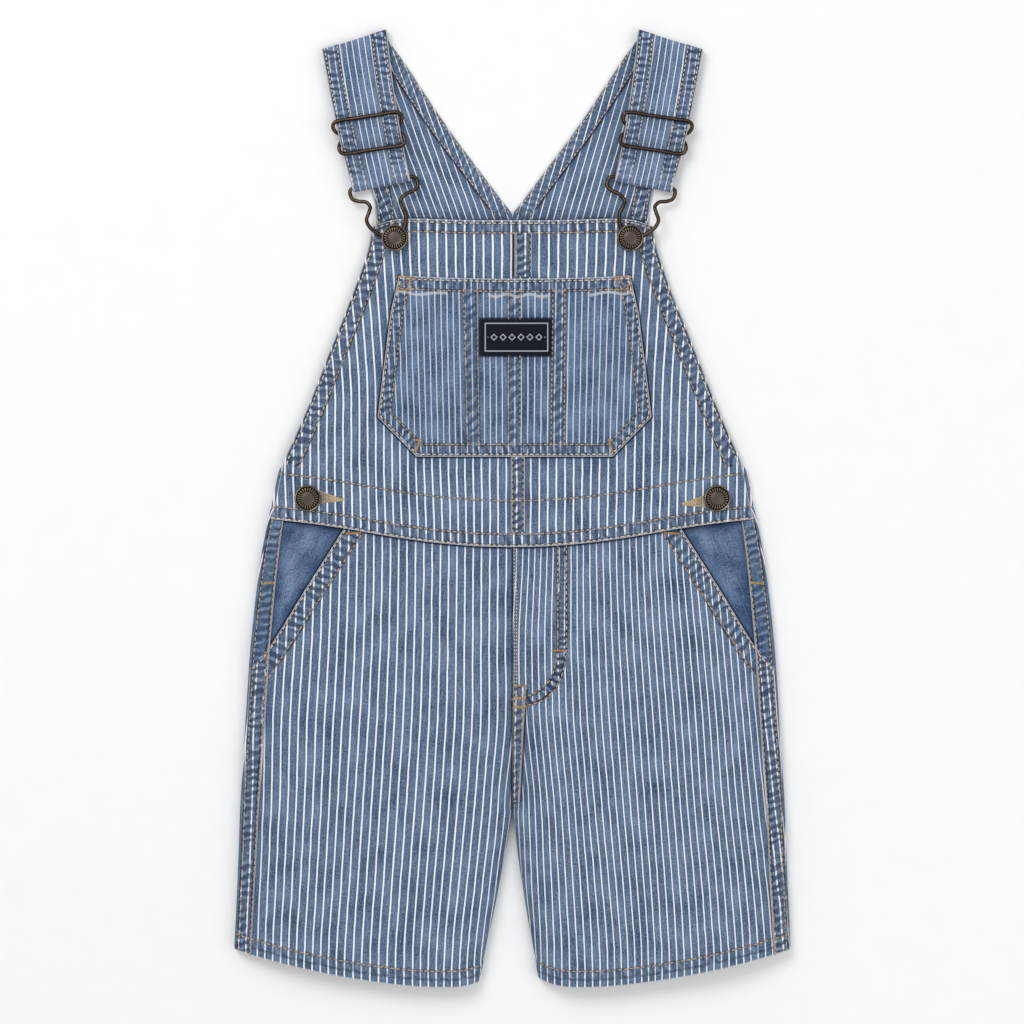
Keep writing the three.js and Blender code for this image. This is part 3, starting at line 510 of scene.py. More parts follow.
def rise_edge(y):
    return mix(4.2, 7.8, np.clip((y + 171) / 67, 0, 1))


FLY_OUTER = [
    (31.3, -20), (31.3, -80), (30.4, -90), (28.4, -98), (24.1, -106.2),
    (18, -111.5), (12.2, -113.8), (0.6, -116),
]  # fmt: skip
FLY_INNER = [
    (26.2, -20), (26.2, -82), (25, -90), (23.5, -96.4), (21.2, -100.7),
    (15.1, -106.3), (11, -108.6), (0.8, -111),
]  # fmt: skip
FLY_BAND = [
    (28.8, -20), (28.8, -81), (27.7, -90), (26, -97.2), (22.7, -103.5),
    (16.5, -108.9), (11.6, -111.2), (0.7, -113.5),
]  # fmt: skip

leg_v = np.concatenate([np.linspace(0, 0.12, 26)[:-1], np.linspace(0.12, 1, 128)])
for side, word in SIDES:
    grid = np.stack([front_leg_row(side, v) for v in leg_v])
    q, y = np.abs(grid[..., 0]), grid[..., 1]
    hem = (1 - ease((y - leg_hem(q) - LEG_HEM_DEPTH - 0.2) / 1.2)) * (grid[..., 2] > 4)
    bands = [
        (leg_hem_line(side, 7.0), 2.5, 6.2, 0.26, 0.5, 0.6),
        (hip_line(side, 6.6), 4.6, 4.8, 0.24, 0.2, 1.0),
    ]
    # Distances to the edges beside which the denim paints a shadow: under the waist seam, beside the outseam
    # strip, along the middle and, on the right, beside the rise's felled strip.
    centre = np.where(y > CROTCH_Y, q + (0.4 if side < 0 else 0.9), FAR)
    if side > 0:
        bands.append((FLY_BAND, 2.5, 3.9, 0.16, 0.1, 1.2))
        centre = np.where((y < -104) & (y > -171), np.maximum(0, q - rise_edge(y)), centre)
    under = np.minimum.reduce([below_waist(q, y), beside_outseam(q, y) + 0.95, centre])
    cloth(
        f"leg_front_{word}_denim", grid, leg_stripe(side, grid), LEG_PITCH[side] * THINNER[side], bands,
        lift=HEM_RISE * hem, under=under, turned="bf", flip=side > 0,
    )  # fmt: skip
print("front leg points:", grid.shape[0] * grid.shape[1])


# %% Back legs
def back_leg_row(side, v):
    inside = max(meet(lambda y: inside_leg(side, y), v, 5), 0)
    below = CROTCH_Y - float(leg_row_y(max(inside, 0.15), v))
    near = 1 - float(ease(below / INSEAM_RAMP)) if below > 0 else 1 - float(ease(-below / 12))
    seam = INSEAM_TUCK * float(ease(below / INSEAM_RAMP)) + 0.3 if below > 0 else 0.15
    start = inside + seam + 1.1 * near
    edge = meet(outline, v, 150)
    split = meet(lambda y: outline(y) - OUTSEAM_SPLIT + 0.3, v, 150)
    return joined_row(
        (stretch(side, start, start + 9, v, back_height), 8),
        (stretch(side, start + 9, edge - 6, v, back_height), 52),
        (stretch(side, edge - 6, edge, v, back_height, 2), 12),
        (stretch(side, split, edge, v, front_height, 2)[::-1], 6),
    )


for side, word in SIDES:
    grid = np.stack([back_leg_row(side, v) for v in np.linspace(0, 1, 120)])
    grid[..., 2] += 0.35 * ease((3 - grid[..., 2]) / 3)
    cloth(
        f"leg_back_{word}_denim", grid, leg_stripe(side, grid), LEG_PITCH[side],
        turned="b", flip=side > 0, wrinkle=0.0, thick=1.0,
    )  # fmt: skip

# %% [markdown]
# ## Bib
# The bib is two halves with a felled seam down the middle, hemmed at the top and the sides. Its lower
# edge lies over the legs as the waist seam. A patch is a grid between two lines across and two up,
# and a few rounds of settling find where a row and a column meet.

# %% Bib halves
BIB_PITCH = {-1: 4.67, 1: 4.93}
LEFT_BIB_COURSE = [
    (-13.4, 8.3, 45.1, 83.0, 121.4),
    (21.5, 8.5, 46.7, 83.8, 122.3),
    (73.8, 8.1, 46.7, 84.1, 121.9),
    (137.6, 5.9, 49.0, 89.4, 130.1),
    (155.1, 6.2, 49.3, 92.0, 134.7),
]
RIGHT_BIB_COURSE = [
    (-13.4, 10.5, 49.8, 90.2, 129.3),
    (21.5, 10.6, 50.4, 91.0, 130.4),
    (73.8, 10.5, 50.6, 92.3, 131.3),
    (137.6, 10.0, 53.8, 97.0, 140.0),
    (155.1, 9.8, 54.7, 99.1, 143.5),
]
BIB_HEM_DEPTH, BIB_SIDE_HEM = 7.5, 9.0


def patch(side, us, vs, across, up, height):
    u, v = np.meshgrid(us, vs)
    q = np.full(u.shape, 50.0)
    for _ in range(8):
        y = up(q, v)
        q = across(y, u)
    y = up(q, v)
    return np.stack([side * q, y, height(side, q, y)], axis=2)


def bib_side_line(side, inset, low=-6.0, high=164.0, count=40):
    y = np.linspace(low, high, count)
    return np.stack([side * (bib_side(y) - inset), y], axis=1)


def across_line(side, curve, shift, q0, q1, count=40):
    q = np.linspace(q0, q1, count)
    return np.stack([side * q, curve(q) + shift], axis=1)


POCKET_X, POCKET_SAG, POCKET_LOW, POCKET_MOUTH, MOUTH_HALF = 1.2, 1.8, 29.5, 134.5, 67.0
POCKET_HALF = [(POCKET_LOW, 56.8), (52.5, 79.3), (70.5, 77.2), (113.4, 71.8), (POCKET_MOUTH, MOUTH_HALF)]
POCKET_RIM = [(-1, h, v) for v, h in POCKET_HALF[::-1]] + [(1, h, v) for v, h in POCKET_HALF]
for side, word in SIDES:
    grid = patch(
        side,
        np.linspace(0, 1, 112),
        np.linspace(0, 1, 164),
        lambda y, u: mix(0.15, bib_side(y), u),
        lambda q, v: mix(waist_seam(q), bib_top(q), v),
        bib_height,
    )
    q, y = np.abs(grid[..., 0]), grid[..., 1]
    top = ease((y - bib_top(q) + BIB_HEM_DEPTH) / 1.2 + 0.5)
    low = 1 - ease((y - waist_seam(q) - WAIST_LAP - 0.5) / 1.2)
    edge = ease((q - bib_side(y) + BIB_SIDE_HEM) / 1.2 + 0.5)
    bands = [
        (across_line(side, bib_top, -4.6, 0, 80), 2.8, 4.9, 0.17, 0.1, 0.9),
        (bib_side_line(side, 6.0, 28, 163), 3.9, 4.9, 0.26, 0.25, 1.0),
        (across_line(side, waist_seam, 4.15, 0, 141), 3.25, 5.2, 0.18, 0.1, 0.9),
        (across_line(side, waist_seam, 26.8, 0, 136), 0.01, 5.2, 0.10, 0.2, 0.7),
    ]
    fell = (11.4, 7.2) if side > 0 else (-1.2, 1.0)
    # Distances to the felled strip and to the pocket's outline, beside which the denim paints a shadow.
    by_fell = np.where((y < 30) & (y > -14), q - fell[1], FAR)
    by_fell = np.where((y > 134) & (y < 159), q - fell[0], by_fell)
    by_pocket = beside([(POCKET_X + k * h, v) for k, h, v in POCKET_RIM], side * q, y)[0]
    course = LEFT_BIB_COURSE if side < 0 else RIGHT_BIB_COURSE
    cloth(
        f"bib_{word}_denim", grid, counted(course, q, y), BIB_PITCH[side], bands,
        lift=HEM_RISE * np.maximum(np.maximum(top, low), edge),
        under=np.minimum(np.maximum(by_fell, 0) + 0.75, by_pocket), turned="lbt", flip=side < 0,
    )  # fmt: skip
print("bib points:", grid.shape[0] * grid.shape[1])

# %% [markdown]
# ## Bib pocket and label
# The pocket is one six-sided piece with a turned mouth that sags a little. Its side corners are as
# wide as the grid's own corner, so the outline stays crisp there.

# %% Bib pocket
def pocket_half(y):
    rows = np.array(POCKET_HALF)
    return np.interp(y, rows[:, 0], rows[:, 1])


def pocket_grid(us, vs):
    u, v = np.meshgrid(us, vs)
    level = mix(POCKET_LOW, POCKET_MOUTH, v)
    y = mix(POCKET_LOW, POCKET_MOUTH - POCKET_SAG * (1 - u * u), v)
    x = POCKET_X + u * pocket_half(level)
    return x, y


u_line, v_line = np.linspace(-1, 1, 137), np.linspace(0, 1, 102)
x, y = pocket_grid(u_line, v_line)
z = bib_height(1, np.abs(x), y) * (x >= 0) + bib_height(-1, np.abs(x), y) * (x < 0) + LAYER + 0.15
grid = np.stack([x, y, z], axis=2)


def pocket_inset(side, inset):
    """The pocket's side and bottom, moved in by so much."""
    low = POCKET_LOW + inset
    line = [(0, low), (56.8 - 0.42 * inset, low), (79.3 - inset, 52.5 + 0.42 * inset)]
    line += [(half - inset, level) for level, half in POCKET_HALF[2:]]
    return [(POCKET_X + side * q, y) for q, y in line]


def mouth_height(x):
    return POCKET_MOUTH - POCKET_SAG * (1 - ((x - POCKET_X) / MOUTH_HALF) ** 2)


def mouth_line(shift, q0=-64.0, q1=66.4, count=40):
    x = np.linspace(q0, q1, count)
    return np.stack([x, mouth_height(x) - shift], axis=1)


POCKET_COLUMNS = [(-28.5, -25.8), (-20.6, -19.4), (-2.2, -2.2), (4.3, 4.3), (23.5, 22.3), (30.5, 29.9)]
LABEL = (1.8, 98.7, 40.8, 20.7)  # middle x and y, width, height
bands = [
    (mouth_line(4.5), 2.9, 4.6, 0.18, 0.1, 1.0),
    (pocket_inset(-1, 4.15), 2.85, 4.7, 0.22, 0.3, 1.0),
    (pocket_inset(1, 4.15), 2.85, 4.7, 0.22, 0.3, 1.0),
    ([(-24.6, 126), (-22.6, 37)], 3.5, 6.4, 0.20, 0.7, 0.85),
    ([(1.0, 126), (1.0, 37)], 3.3, 6.4, 0.20, 0.7, 0.85),
    ([(27.0, 126), (26.1, 37)], 3.7, 6.4, 0.20, 0.7, 0.85),
]
gather = 0.26 * np.sin(y / 2.1 + 1.5 * np.sin(x / 19)) * (0.5 + 0.5 * np.sin(x / 8.3 + y / 31))
mouth = ease((y - mouth_height(x) + 8) / 1.2 + 0.5)
POCKET_COURSE = [(-80, -22.3), (-55, -15.2), (-28, -7.6), (0, 0.15), (28, 7.2), (55, 14.3), (80, 20.9)]
narrowing = 1 - 0.055 * (POCKET_MOUTH - y) / (POCKET_MOUTH - POCKET_LOW)
pocket_stripe = along(POCKET_COURSE, x / narrowing)
worn_line = mouth_height(x) - y - 9.7 - 0.8 * np.sin(x / 2.9 + 2 * np.sin(x / 13))
worn_line = np.abs(worn_line) - 0.25 + 2 * (np.sin(x / 9.5 + 1.2) < -0.35)
# Distance to the label, round which the denim paints a shadow.
by_label = np.hypot(
    np.maximum(np.abs(x - LABEL[0]) - LABEL[2] / 2, 0), np.maximum(np.abs(y - LABEL[1]) - LABEL[3] / 2, 0)
)  # fmt: skip
cloth(
    "bib_pocket_denim", grid, pocket_stripe, 3.8, bands, lift=HEM_RISE * mouth + gather * (1 - mouth),
    under=by_label, rim=worn_line, turned="flbt", wrinkle=0.8,
)  # fmt: skip

# %% Label on the pocket
u, v = np.meshgrid(np.linspace(-0.5, 0.5, 42), np.linspace(-0.5, 0.5, 24))
x, y = LABEL[0] + LABEL[2] * u, LABEL[1] + LABEL[3] * v
z = bib_height(1, np.abs(x), y) + 2 * LAYER + 0.75
label = cloth("bib_label_weave", np.stack([x, y, z], axis=2), thick=0.9, wrinkle=0.5, roll=0.25)

# %% [markdown]
# ## Hip pocket facings, outseam strips and felled seams
# Behind each slanted pocket edge lies plain denim. The outseams and the middle seams are felled:
# one edge is folded over the other and stitched twice, so a narrow raised strip runs along them.

# %% Facings and strips
for side, word in SIDES:
    def facing_height(s, q, y):
        room = np.maximum(outline(y) - OUTSEAM_SPLIT - pocket_edge(y), 3)
        return front_height(s, q, y) - 1.9 * ease((outline(y) - OUTSEAM_SPLIT - q) / np.minimum(14, room))

    grid = patch(
        side,
        np.linspace(0, 1, 46),
        np.linspace(0, 1, 62),
        lambda y, u: mix(pocket_edge(y) - 10, outline(y) - OUTSEAM_SPLIT - 0.6, u),
        lambda q, v: mix(-86, waist_seam(q) + WAIST_LAP, v),
        facing_height,
    )
    q, y = np.abs(grid[..., 0]), grid[..., 1]
    # Distances to the pocket edge, the waist seam and the outseam strip that lie over the facing, beside
    # which the denim paints a shadow.
    by_edge = 0.85 * np.maximum(0, q - pocket_edge(y))
    under = np.minimum.reduce([by_edge, below_waist(q, y), beside_outseam(q, y) + 1.3])
    cloth(f"hip_facing_{word}_denim", grid, under=under, flip=side < 0, thick=1.0, wrinkle=0.7)


def outseam_line(side, inset, low=-262.0, high=-8.0, count=60):
    y = np.linspace(low, high, count)
    return np.stack([side * (outline(y) - inset), y], axis=1)


for side, word in SIDES:
    u, t = np.meshgrid(np.linspace(0, 1, 15), np.linspace(0.0015, 1, 250))
    q = np.full(u.shape, 150.0)
    for _ in range(8):
        y = mix(leg_hem(q), waist_seam(q) - 0.5, t)
        q = outline(y) - mix(outseam_inset(y), 1.3, u)
    grid = np.stack([side * q, y, front_height(side, q, y)], axis=2)
    lift = 1.45 + HEM_RISE * (1 - ease((y - leg_hem(q) - LEG_HEM_DEPTH) / 1.5)) - 0.5 * np.abs(2 * u - 1) ** 3
    at_hip = np.where(y > -98, q - pocket_edge(y), -FAR)
    middle = np.stack([side * (outline(y[:, 0]) - outseam_inset(y[:, 0]) / 2 - 0.9), y[:, 0]], axis=1)
    bands = [(middle[::4], 3.7, 4.8, 0.28, 0.25, 1.0)]
    stripe = np.where(at_hip > 0, 0, leg_stripe(side, grid))
    # Past the pocket edge the strip is painted darker, as that edge's shadow.
    under = np.where(at_hip > 0, 0.85 * at_hip + 0.4, FAR)
    rim = np.where(at_hip < 0, -at_hip, FAR)
    cloth(
        f"outseam_{word}_denim", grid, stripe, LEG_PITCH[side], bands, lift=lift, under=under, rim=rim,
        turned="fb", flip=side < 0, thick=0.9,
    )  # fmt: skip


def centre_strip(name, x0, x1, low, high, height, pitch, taper=0.0):
    u, t = np.meshgrid(np.linspace(0, 1, 9), np.linspace(0, 1, max(int((high - low) / 1.4), 8)))
    y = mix(low, high, t)
    x = mix(x0, mix(x1, x1 - taper, 1 - t), u)
    z = height(1, np.abs(x), y)
    lift = 1.3 - 0.45 * np.abs(2 * u - 1) ** 3
    middle = [((x0 + x1 - taper) / 2, low), ((x0 + x1) / 2, high)]
    bands = [(middle, (x1 - x0) / 2 - 1.1, 4.9, 0.20, 0.3, 1.0)]
    cloth(name, np.stack([x, y, z], axis=2), x / pitch, pitch, bands, lift=lift, turned="fl", thick=0.9)


centre_strip("bib_fell_upper_denim", 1.2, 11.4, 134.0, 159.2, bib_height, 4.9)
centre_strip("bib_fell_lower_denim", -1.0, 7.2, -14.0, 30.0, bib_height, 4.9)
centre_strip("rise_fell_denim", 0.3, 7.8, -171.0, -104.0, front_height, 3.98, taper=3.6)

# %% [markdown]
# ## Upper back and side tabs
# The back lies flat on the surface and narrows to the shoulders round a V neck, and its inside shows
# above the bib. At the sides it turns up round the fold and goes in under the bib, where the side
# buttons hold it.

# %% Upper back halves
BACK_THINNER = 1.45  # thinner stripes than their spacing asks, as on the straps
STRAP_Q, STRAP_Y, STRAP_BOW, LEAN = 75.6, 189.0, 1.8, math.atan2(16.8, 85.8)
SHOULDER_HALF, STRAP_HALF, TAIL_HALF = 19.4, 17.0, 14.6
SHOULDER_S, SHOULDER_SLANT, SHOULDER_RADIUS = 84.9, -0.11, 2.3


def strap_place(across, s):
    a = across + STRAP_BOW * np.maximum(0, 1 - ((s - 35) / 50) ** 2)
    return (
        STRAP_Q + a * math.cos(LEAN) + s * math.sin(LEAN),
        STRAP_Y - a * math.sin(LEAN) + s * math.cos(LEAN),
    )


def shoulder(a):
    return SHOULDER_S + SHOULDER_SLANT * a - SHOULDER_RADIUS - WALL / 2


def back_outer(y):
    return np.where(y < 24, outline(y) - 6.6, along(ARMHOLE, y))


def neck_inner(y):
    return np.where(y < 170.8, 0.15, along(NECK_V, y))


def neck_line(side, inset, low=172.0, high=268.0, count=40):
    y = np.linspace(low, high, count)
    return np.stack([side * (neck_inner(y) + inset), y], axis=1)


for side, word in SIDES:
    vs = np.concatenate([np.linspace(0, 0.662, 60)[:-1], np.linspace(0.662, 1, 90)])
    u, v = np.meshgrid(np.linspace(0, 1, 66), vs)
    a = mix(-SHOULDER_HALF, SHOULDER_HALF, u)
    end_q, end_y = strap_place(a, shoulder(a) - 3.3)
    y, q = np.full(u.shape, 100.0), np.full(u.shape, 50.0)
    for _ in range(8):
        y = mix(waist_seam(q) + WAIST_LAP + 0.6, end_y, v)
        q = mix(neck_inner(y), back_outer(y), u)
    q += (end_q - mix(neck_inner(end_y), back_outer(end_y), u)) * ease((v - 0.94) / 0.06)
    grid = np.stack([side * q, y, np.full(u.shape, 1.35)], axis=2)
    armhole = [(side * (float(back_outer(k)) - 6.1), k) for k in np.linspace(26, 262, 50)]
    bands = [(neck_line(side, 5.9), 3.6, 4.3, 0.15, 0.5, 0.6), (armhole, 3.9, 5.6, 0.20, 0.5, 1.0)]
    slope, gauge, start = (0.357, 4.04, 0.03) if side < 0 else (0.289, 4.22, 0.40)
    stripe = (q - slope * (y - 189)) / gauge + start
    neck_hem = (1 - ease((q - neck_inner(y) - 10.6) / 1.2)) * (y > 171)
    # The denim paints a shadow on the back above the bib's top edge, and a dark line beside the inner edge of
    # the neck hem.
    by_neck = np.abs(0.815 * (q - neck_inner(y) - 11.3)) + 0.45
    by_neck = np.where((y > 171) & (q > neck_inner(y) + 9.6), by_neck, FAR)
    cloth(
        f"back_{word}_denim", grid, stripe, gauge * BACK_THINNER, bands, lift=0.35 * neck_hem,
        under=np.minimum(np.maximum(0, y - bib_top(q)), by_neck), turned="l", flip=side < 0,
        rim=np.where(y > 172.5, q - neck_inner(y), FAR),
        thick=1.05, wrinkle=0.25,
    )  # fmt: skip

# %% Side tabs
TAB_PITCH = 4.7
for side, word in SIDES:
    rows = []
    for v in np.linspace(0, 1, 26):
        def tab_y(q, v=v):
            return mix(waist_seam(q) + WAIST_LAP + 0.3, 24.0, v)

        edge_q = float(outline(float(tab_y(138.0))))
        t = np.linspace(0, 1, 41)
        q = np.concatenate([edge_q - 6 * (1 - t) ** 2, (edge_q - 33 * t**2)[1:]])
        y = tab_y(q)
        z = np.concatenate([back_height(side, q[:41], y[:41]), front_height(side, q[41:], y[41:])])
        rows.append(spread(np.stack([side * q, y, z], axis=1), 40))
    grid = np.stack(rows)
    grid[..., 2] += 0.3 * ease((3 - grid[..., 2]) / 3)
    stripe = np.abs(grid[..., 0]) / TAB_PITCH
    cloth(f"side_tab_{word}_denim", grid, stripe, TAB_PITCH, flip=side > 0, thick=1.0, wrinkle=0.0)

# %% [markdown]
# ## Straps
# A strap comes over the shoulder from the back, goes under the slide's upper bar, over its middle
# bar, under the lower one, round the hook's bar, and back up behind to the middle bar. The path is a
# short list of stations in the strap's own frame, and the width is swept along it.

# %% Straps
WIRE, GAP = 1.1, 0.3
SLIDE_TOP, SLIDE_LOW, SLIDE_TILT = 39.0, 19.4, 0.04
SLIDE_MID = (SLIDE_TOP + SLIDE_LOW) / 2
SLIDE_MID_Z, SLIDE_TOP_HALF, SLIDE_LOW_HALF, SLIDE_PINCH = 6.0, 20.2, 19.2, 16.6
HOOK_IN, HOOK_SWAY, HOOK_BAR_Z, HOOK_LOW_Z, BUTTON_S = -0.9, 2.7, 4.6, 9.1, -33.5


def strap_path(share):
    """Stations (s, z, half width) of the strap's middle layer, at some share of the way to an edge."""
    flat, turn, fold = WALL / 2, WIRE + GAP + WALL / 2, float(shoulder(share * SHOULDER_HALF))
    top, mid, low = (s + SLIDE_TILT * share * STRAP_HALF for s in (SLIDE_TOP, SLIDE_MID, SLIDE_LOW))
    tail = SLIDE_MID + SLIDE_TILT * share * TAIL_HALF
    path = [(fold - 3, flat + 0.15, SHOULDER_HALF)]

    def arc(s, z, radius, start, end, half, steps):
        for angle in np.radians(np.linspace(start, end, steps)):
            path.append((s + radius * math.cos(angle), z + radius * math.sin(angle), half))

    arc(fold, flat + SHOULDER_RADIUS, SHOULDER_RADIUS, -88, 90, SHOULDER_HALF, 12)
    for s, z in (
        (mix(top, fold, 0.6), 5.4), (mix(top, fold, 0.25), 5.7), (top + 3, 5.9), (top, 5.9), (top - 3, 6.8),
        (mid + 3, 9.3), (mid, 9.7), (mid - 3, 9.3), (low + 3, 6.8), (low, 5.9), (low - 3, 5.95), (8, 6.4),
    ):  # fmt: skip
        path.append((s, z, mix(STRAP_HALF, SHOULDER_HALF, min(max(s / SHOULDER_S, 0), 1))))
    arc(0, HOOK_BAR_Z, turn, 90, 270, STRAP_HALF, 12)
    path += [(4, HOOK_BAR_Z - turn, TAIL_HALF), (tail - 10, 2.7, TAIL_HALF), (tail - 4, 2.9, TAIL_HALF)]
    arc(tail, SLIDE_MID_Z, turn, -70, 180, TAIL_HALF, 14)
    path += [(tail - 4.5, 4.6, TAIL_HALF), (tail - 8.5, 4.35, TAIL_HALF)]
    return np.array(path)


def rounded(path, count):
    """Evenly spaced stations on a smooth line through a path's stations."""
    lengths = np.concatenate([[0], np.cumsum(np.hypot(*np.diff(path[:, :2], axis=0).T))])
    want = np.linspace(0, lengths[-1], count)
    return np.stack([along(np.stack([lengths, path[:, k]], axis=1), want) for k in range(3)], axis=1)


STRAP_ROWS, STRAP_COLS, STRAP_PITCH, STRAP_THINNER = 220, 41, 3.6, 1.5
for side, word in SIDES:
    us = np.linspace(-1, 1, STRAP_COLS)
    grid, half = np.empty((STRAP_ROWS, STRAP_COLS, 3)), np.empty((STRAP_ROWS, STRAP_COLS))
    for j, u in enumerate(us):
        path = rounded(strap_path(u), STRAP_ROWS)
        q, y = strap_place(u * path[:, 2], path[:, 0])
        grid[:, j], half[:, j] = np.stack([side * q, y, path[:, 1]], axis=1), path[:, 2]
    step = np.linalg.norm(np.diff(grid[:, STRAP_COLS // 2], axis=0), axis=1)
    run = np.repeat(np.concatenate([[0], np.cumsum(step)])[:, None], STRAP_COLS, axis=1)
    a = us[None, :] * half
    from_edge = half - np.abs(a)
    hem = 1 - ease((from_edge - 9.2) / 1.2)
    ridges = (run + 0.8 * np.sin(run / 9 + 2 * np.sign(a)) + 0.3 * a) / 4.3
    gathers = np.exp(-(((grid[..., 1] - 205) / 9) ** 2)) * (1 - hem)
    loose = 1 - ease((run - run.max() + 62) / 3)
    wave = np.cos(2 * np.pi * ridges)
    field = {
        "high": (0.17 * wave * hem + 0.22 * np.sin(a * 1.15 + run / 17) * gathers) * loose,
        "ridge": wave, "seam": hem * (0.3 + 0.7 * loose), "off": from_edge - 5.0, "half": 0 * a + 3.7,
        "run": ridges,
    }  # fmt: skip
    bend = 0.5 * np.sin(run / 31.0) * (1 - hem)
    cloth(
        f"strap_{word}_denim", grid, (a + bend) / STRAP_PITCH, STRAP_PITCH * STRAP_THINNER, field=field,
        lift=WALL / 2 - 0.1 + 0.25 * hem * loose, turned="fl", flip=side > 0, thick=1.1, wrinkle=0.0,
        roll=0.2,
    )  # fmt: skip
print("strap length along the cloth:", round(float(run.max()), 1), "mm")

# %% [markdown]
# ## Finishes
# One small function adds a node with its settings and links, and one turns sRGB hex into the linear
# values that Blender works in. Patterns are scaled from real sizes.

# %% Helpers for materials
TIMES, PLUS, LESS, LEAST, MOST, SIZE, PART, WAVE = (
    {"operation": k}
    for k in ("MULTIPLY", "ADD", "SUBTRACT", "MINIMUM", "MAXIMUM", "ABSOLUTE", "FRACT", "SINE")
)  # fmt: skip
SOFT, FLAT_NOISE = {"interpolation_type": "SMOOTHSTEP"}, {"noise_dimensions": "2D"}
COLOUR = {"data_type": "RGBA"}
MATH, RANGE, NOISE, MIXER, BUMP = (
    "ShaderNode" + k for k in ("Math", "MapRange", "TexNoise", "Mix", "Bump")
)  # fmt: skip


def linear(hex_code):
    values = [int(hex_code[i : i + 2], 16) / 255 for i in (1, 3, 5)]
    return [v / 12.92 if v <= 0.04045 else ((v + 0.055) / 1.055) ** 2.4 for v in values] + [1.0]


def add(tree, kind, settings=None, *inputs, out=0, **named):
    """Adds a node and gives its output. inputs fill its sockets in order, and named ones by name or index."""
    node = tree.nodes.new(kind)
    for key, value in (settings or {}).items():
        setattr(node, key, value)
    filled = [(node.inputs[i], value) for i, value in enumerate(inputs)]
    for key, value in named.items():
        filled.append((node.inputs[int(key[1:]) if key[1:].isdigit() else key.replace("_", " ")], value))
    for socket, value in filled:
        if isinstance(value, bpy.types.NodeSocket):
            tree.links.new(value, socket)
        else:
            socket.default_value = value
    return node.outputs[out] if len(node.outputs) else node


def new_material(name, roughness, **constants):
    """An empty material of one Principled shader with its constants set, and a short way to add to it."""
    material = bpy.data.materials.new(name)
    material.use_nodes = True
    tree = material.node_tree
    tree.nodes.clear()
    shader = tree.nodes.new("ShaderNodeBsdfPrincipled")
    add(tree, "ShaderNodeOutputMaterial", None, shader.outputs[0])
    shader.inputs["Roughness"].default_value = roughness
    for key, value in constants.items():
        shader.inputs[key.replace("_", " ")].default_value = value
    return material, shader, functools.partial(add, tree), tree.links.new


# %% [markdown]
# ## Washed denim
# Denim is a cotton twill of blue warp and white weft. After a stone wash single threads show their
# white core as flecks, slubs run down the cloth and the dye is uneven in soft clouds. Hickory stripe
# adds a few undyed warp threads at even steps. Along a double-stitched seam the wash rubs the
# puckered ridges pale, and the hollows between them stay navy. The groove beside each row of
# stitches is painted darker as shade. Beside the edge of what lies on top the cloth is painted darker
# as shadow, in a wide soft band and a narrow line that also stands for dye the wash didn't reach.
# An image could hold all this, but nodes that read the panel's own cut and its seam attributes stay
# sharp at any size and bend with the cloth.

# %% Denim materials
# Noise in threads: the scales are steps per metre across and up the cut. Real threads are 0.4 mm
# wide, and are drawn about twice as wide so that they show at all.
THREADS = {
    "fleck": (1150, 950, 2.0), "slub": (1300, 90, 1.5), "weft": (150, 1300, 1.0),
    "cloud": (75, 60, 3.0), "crumple": (210, 210, 1.0),
}  # fmt: skip


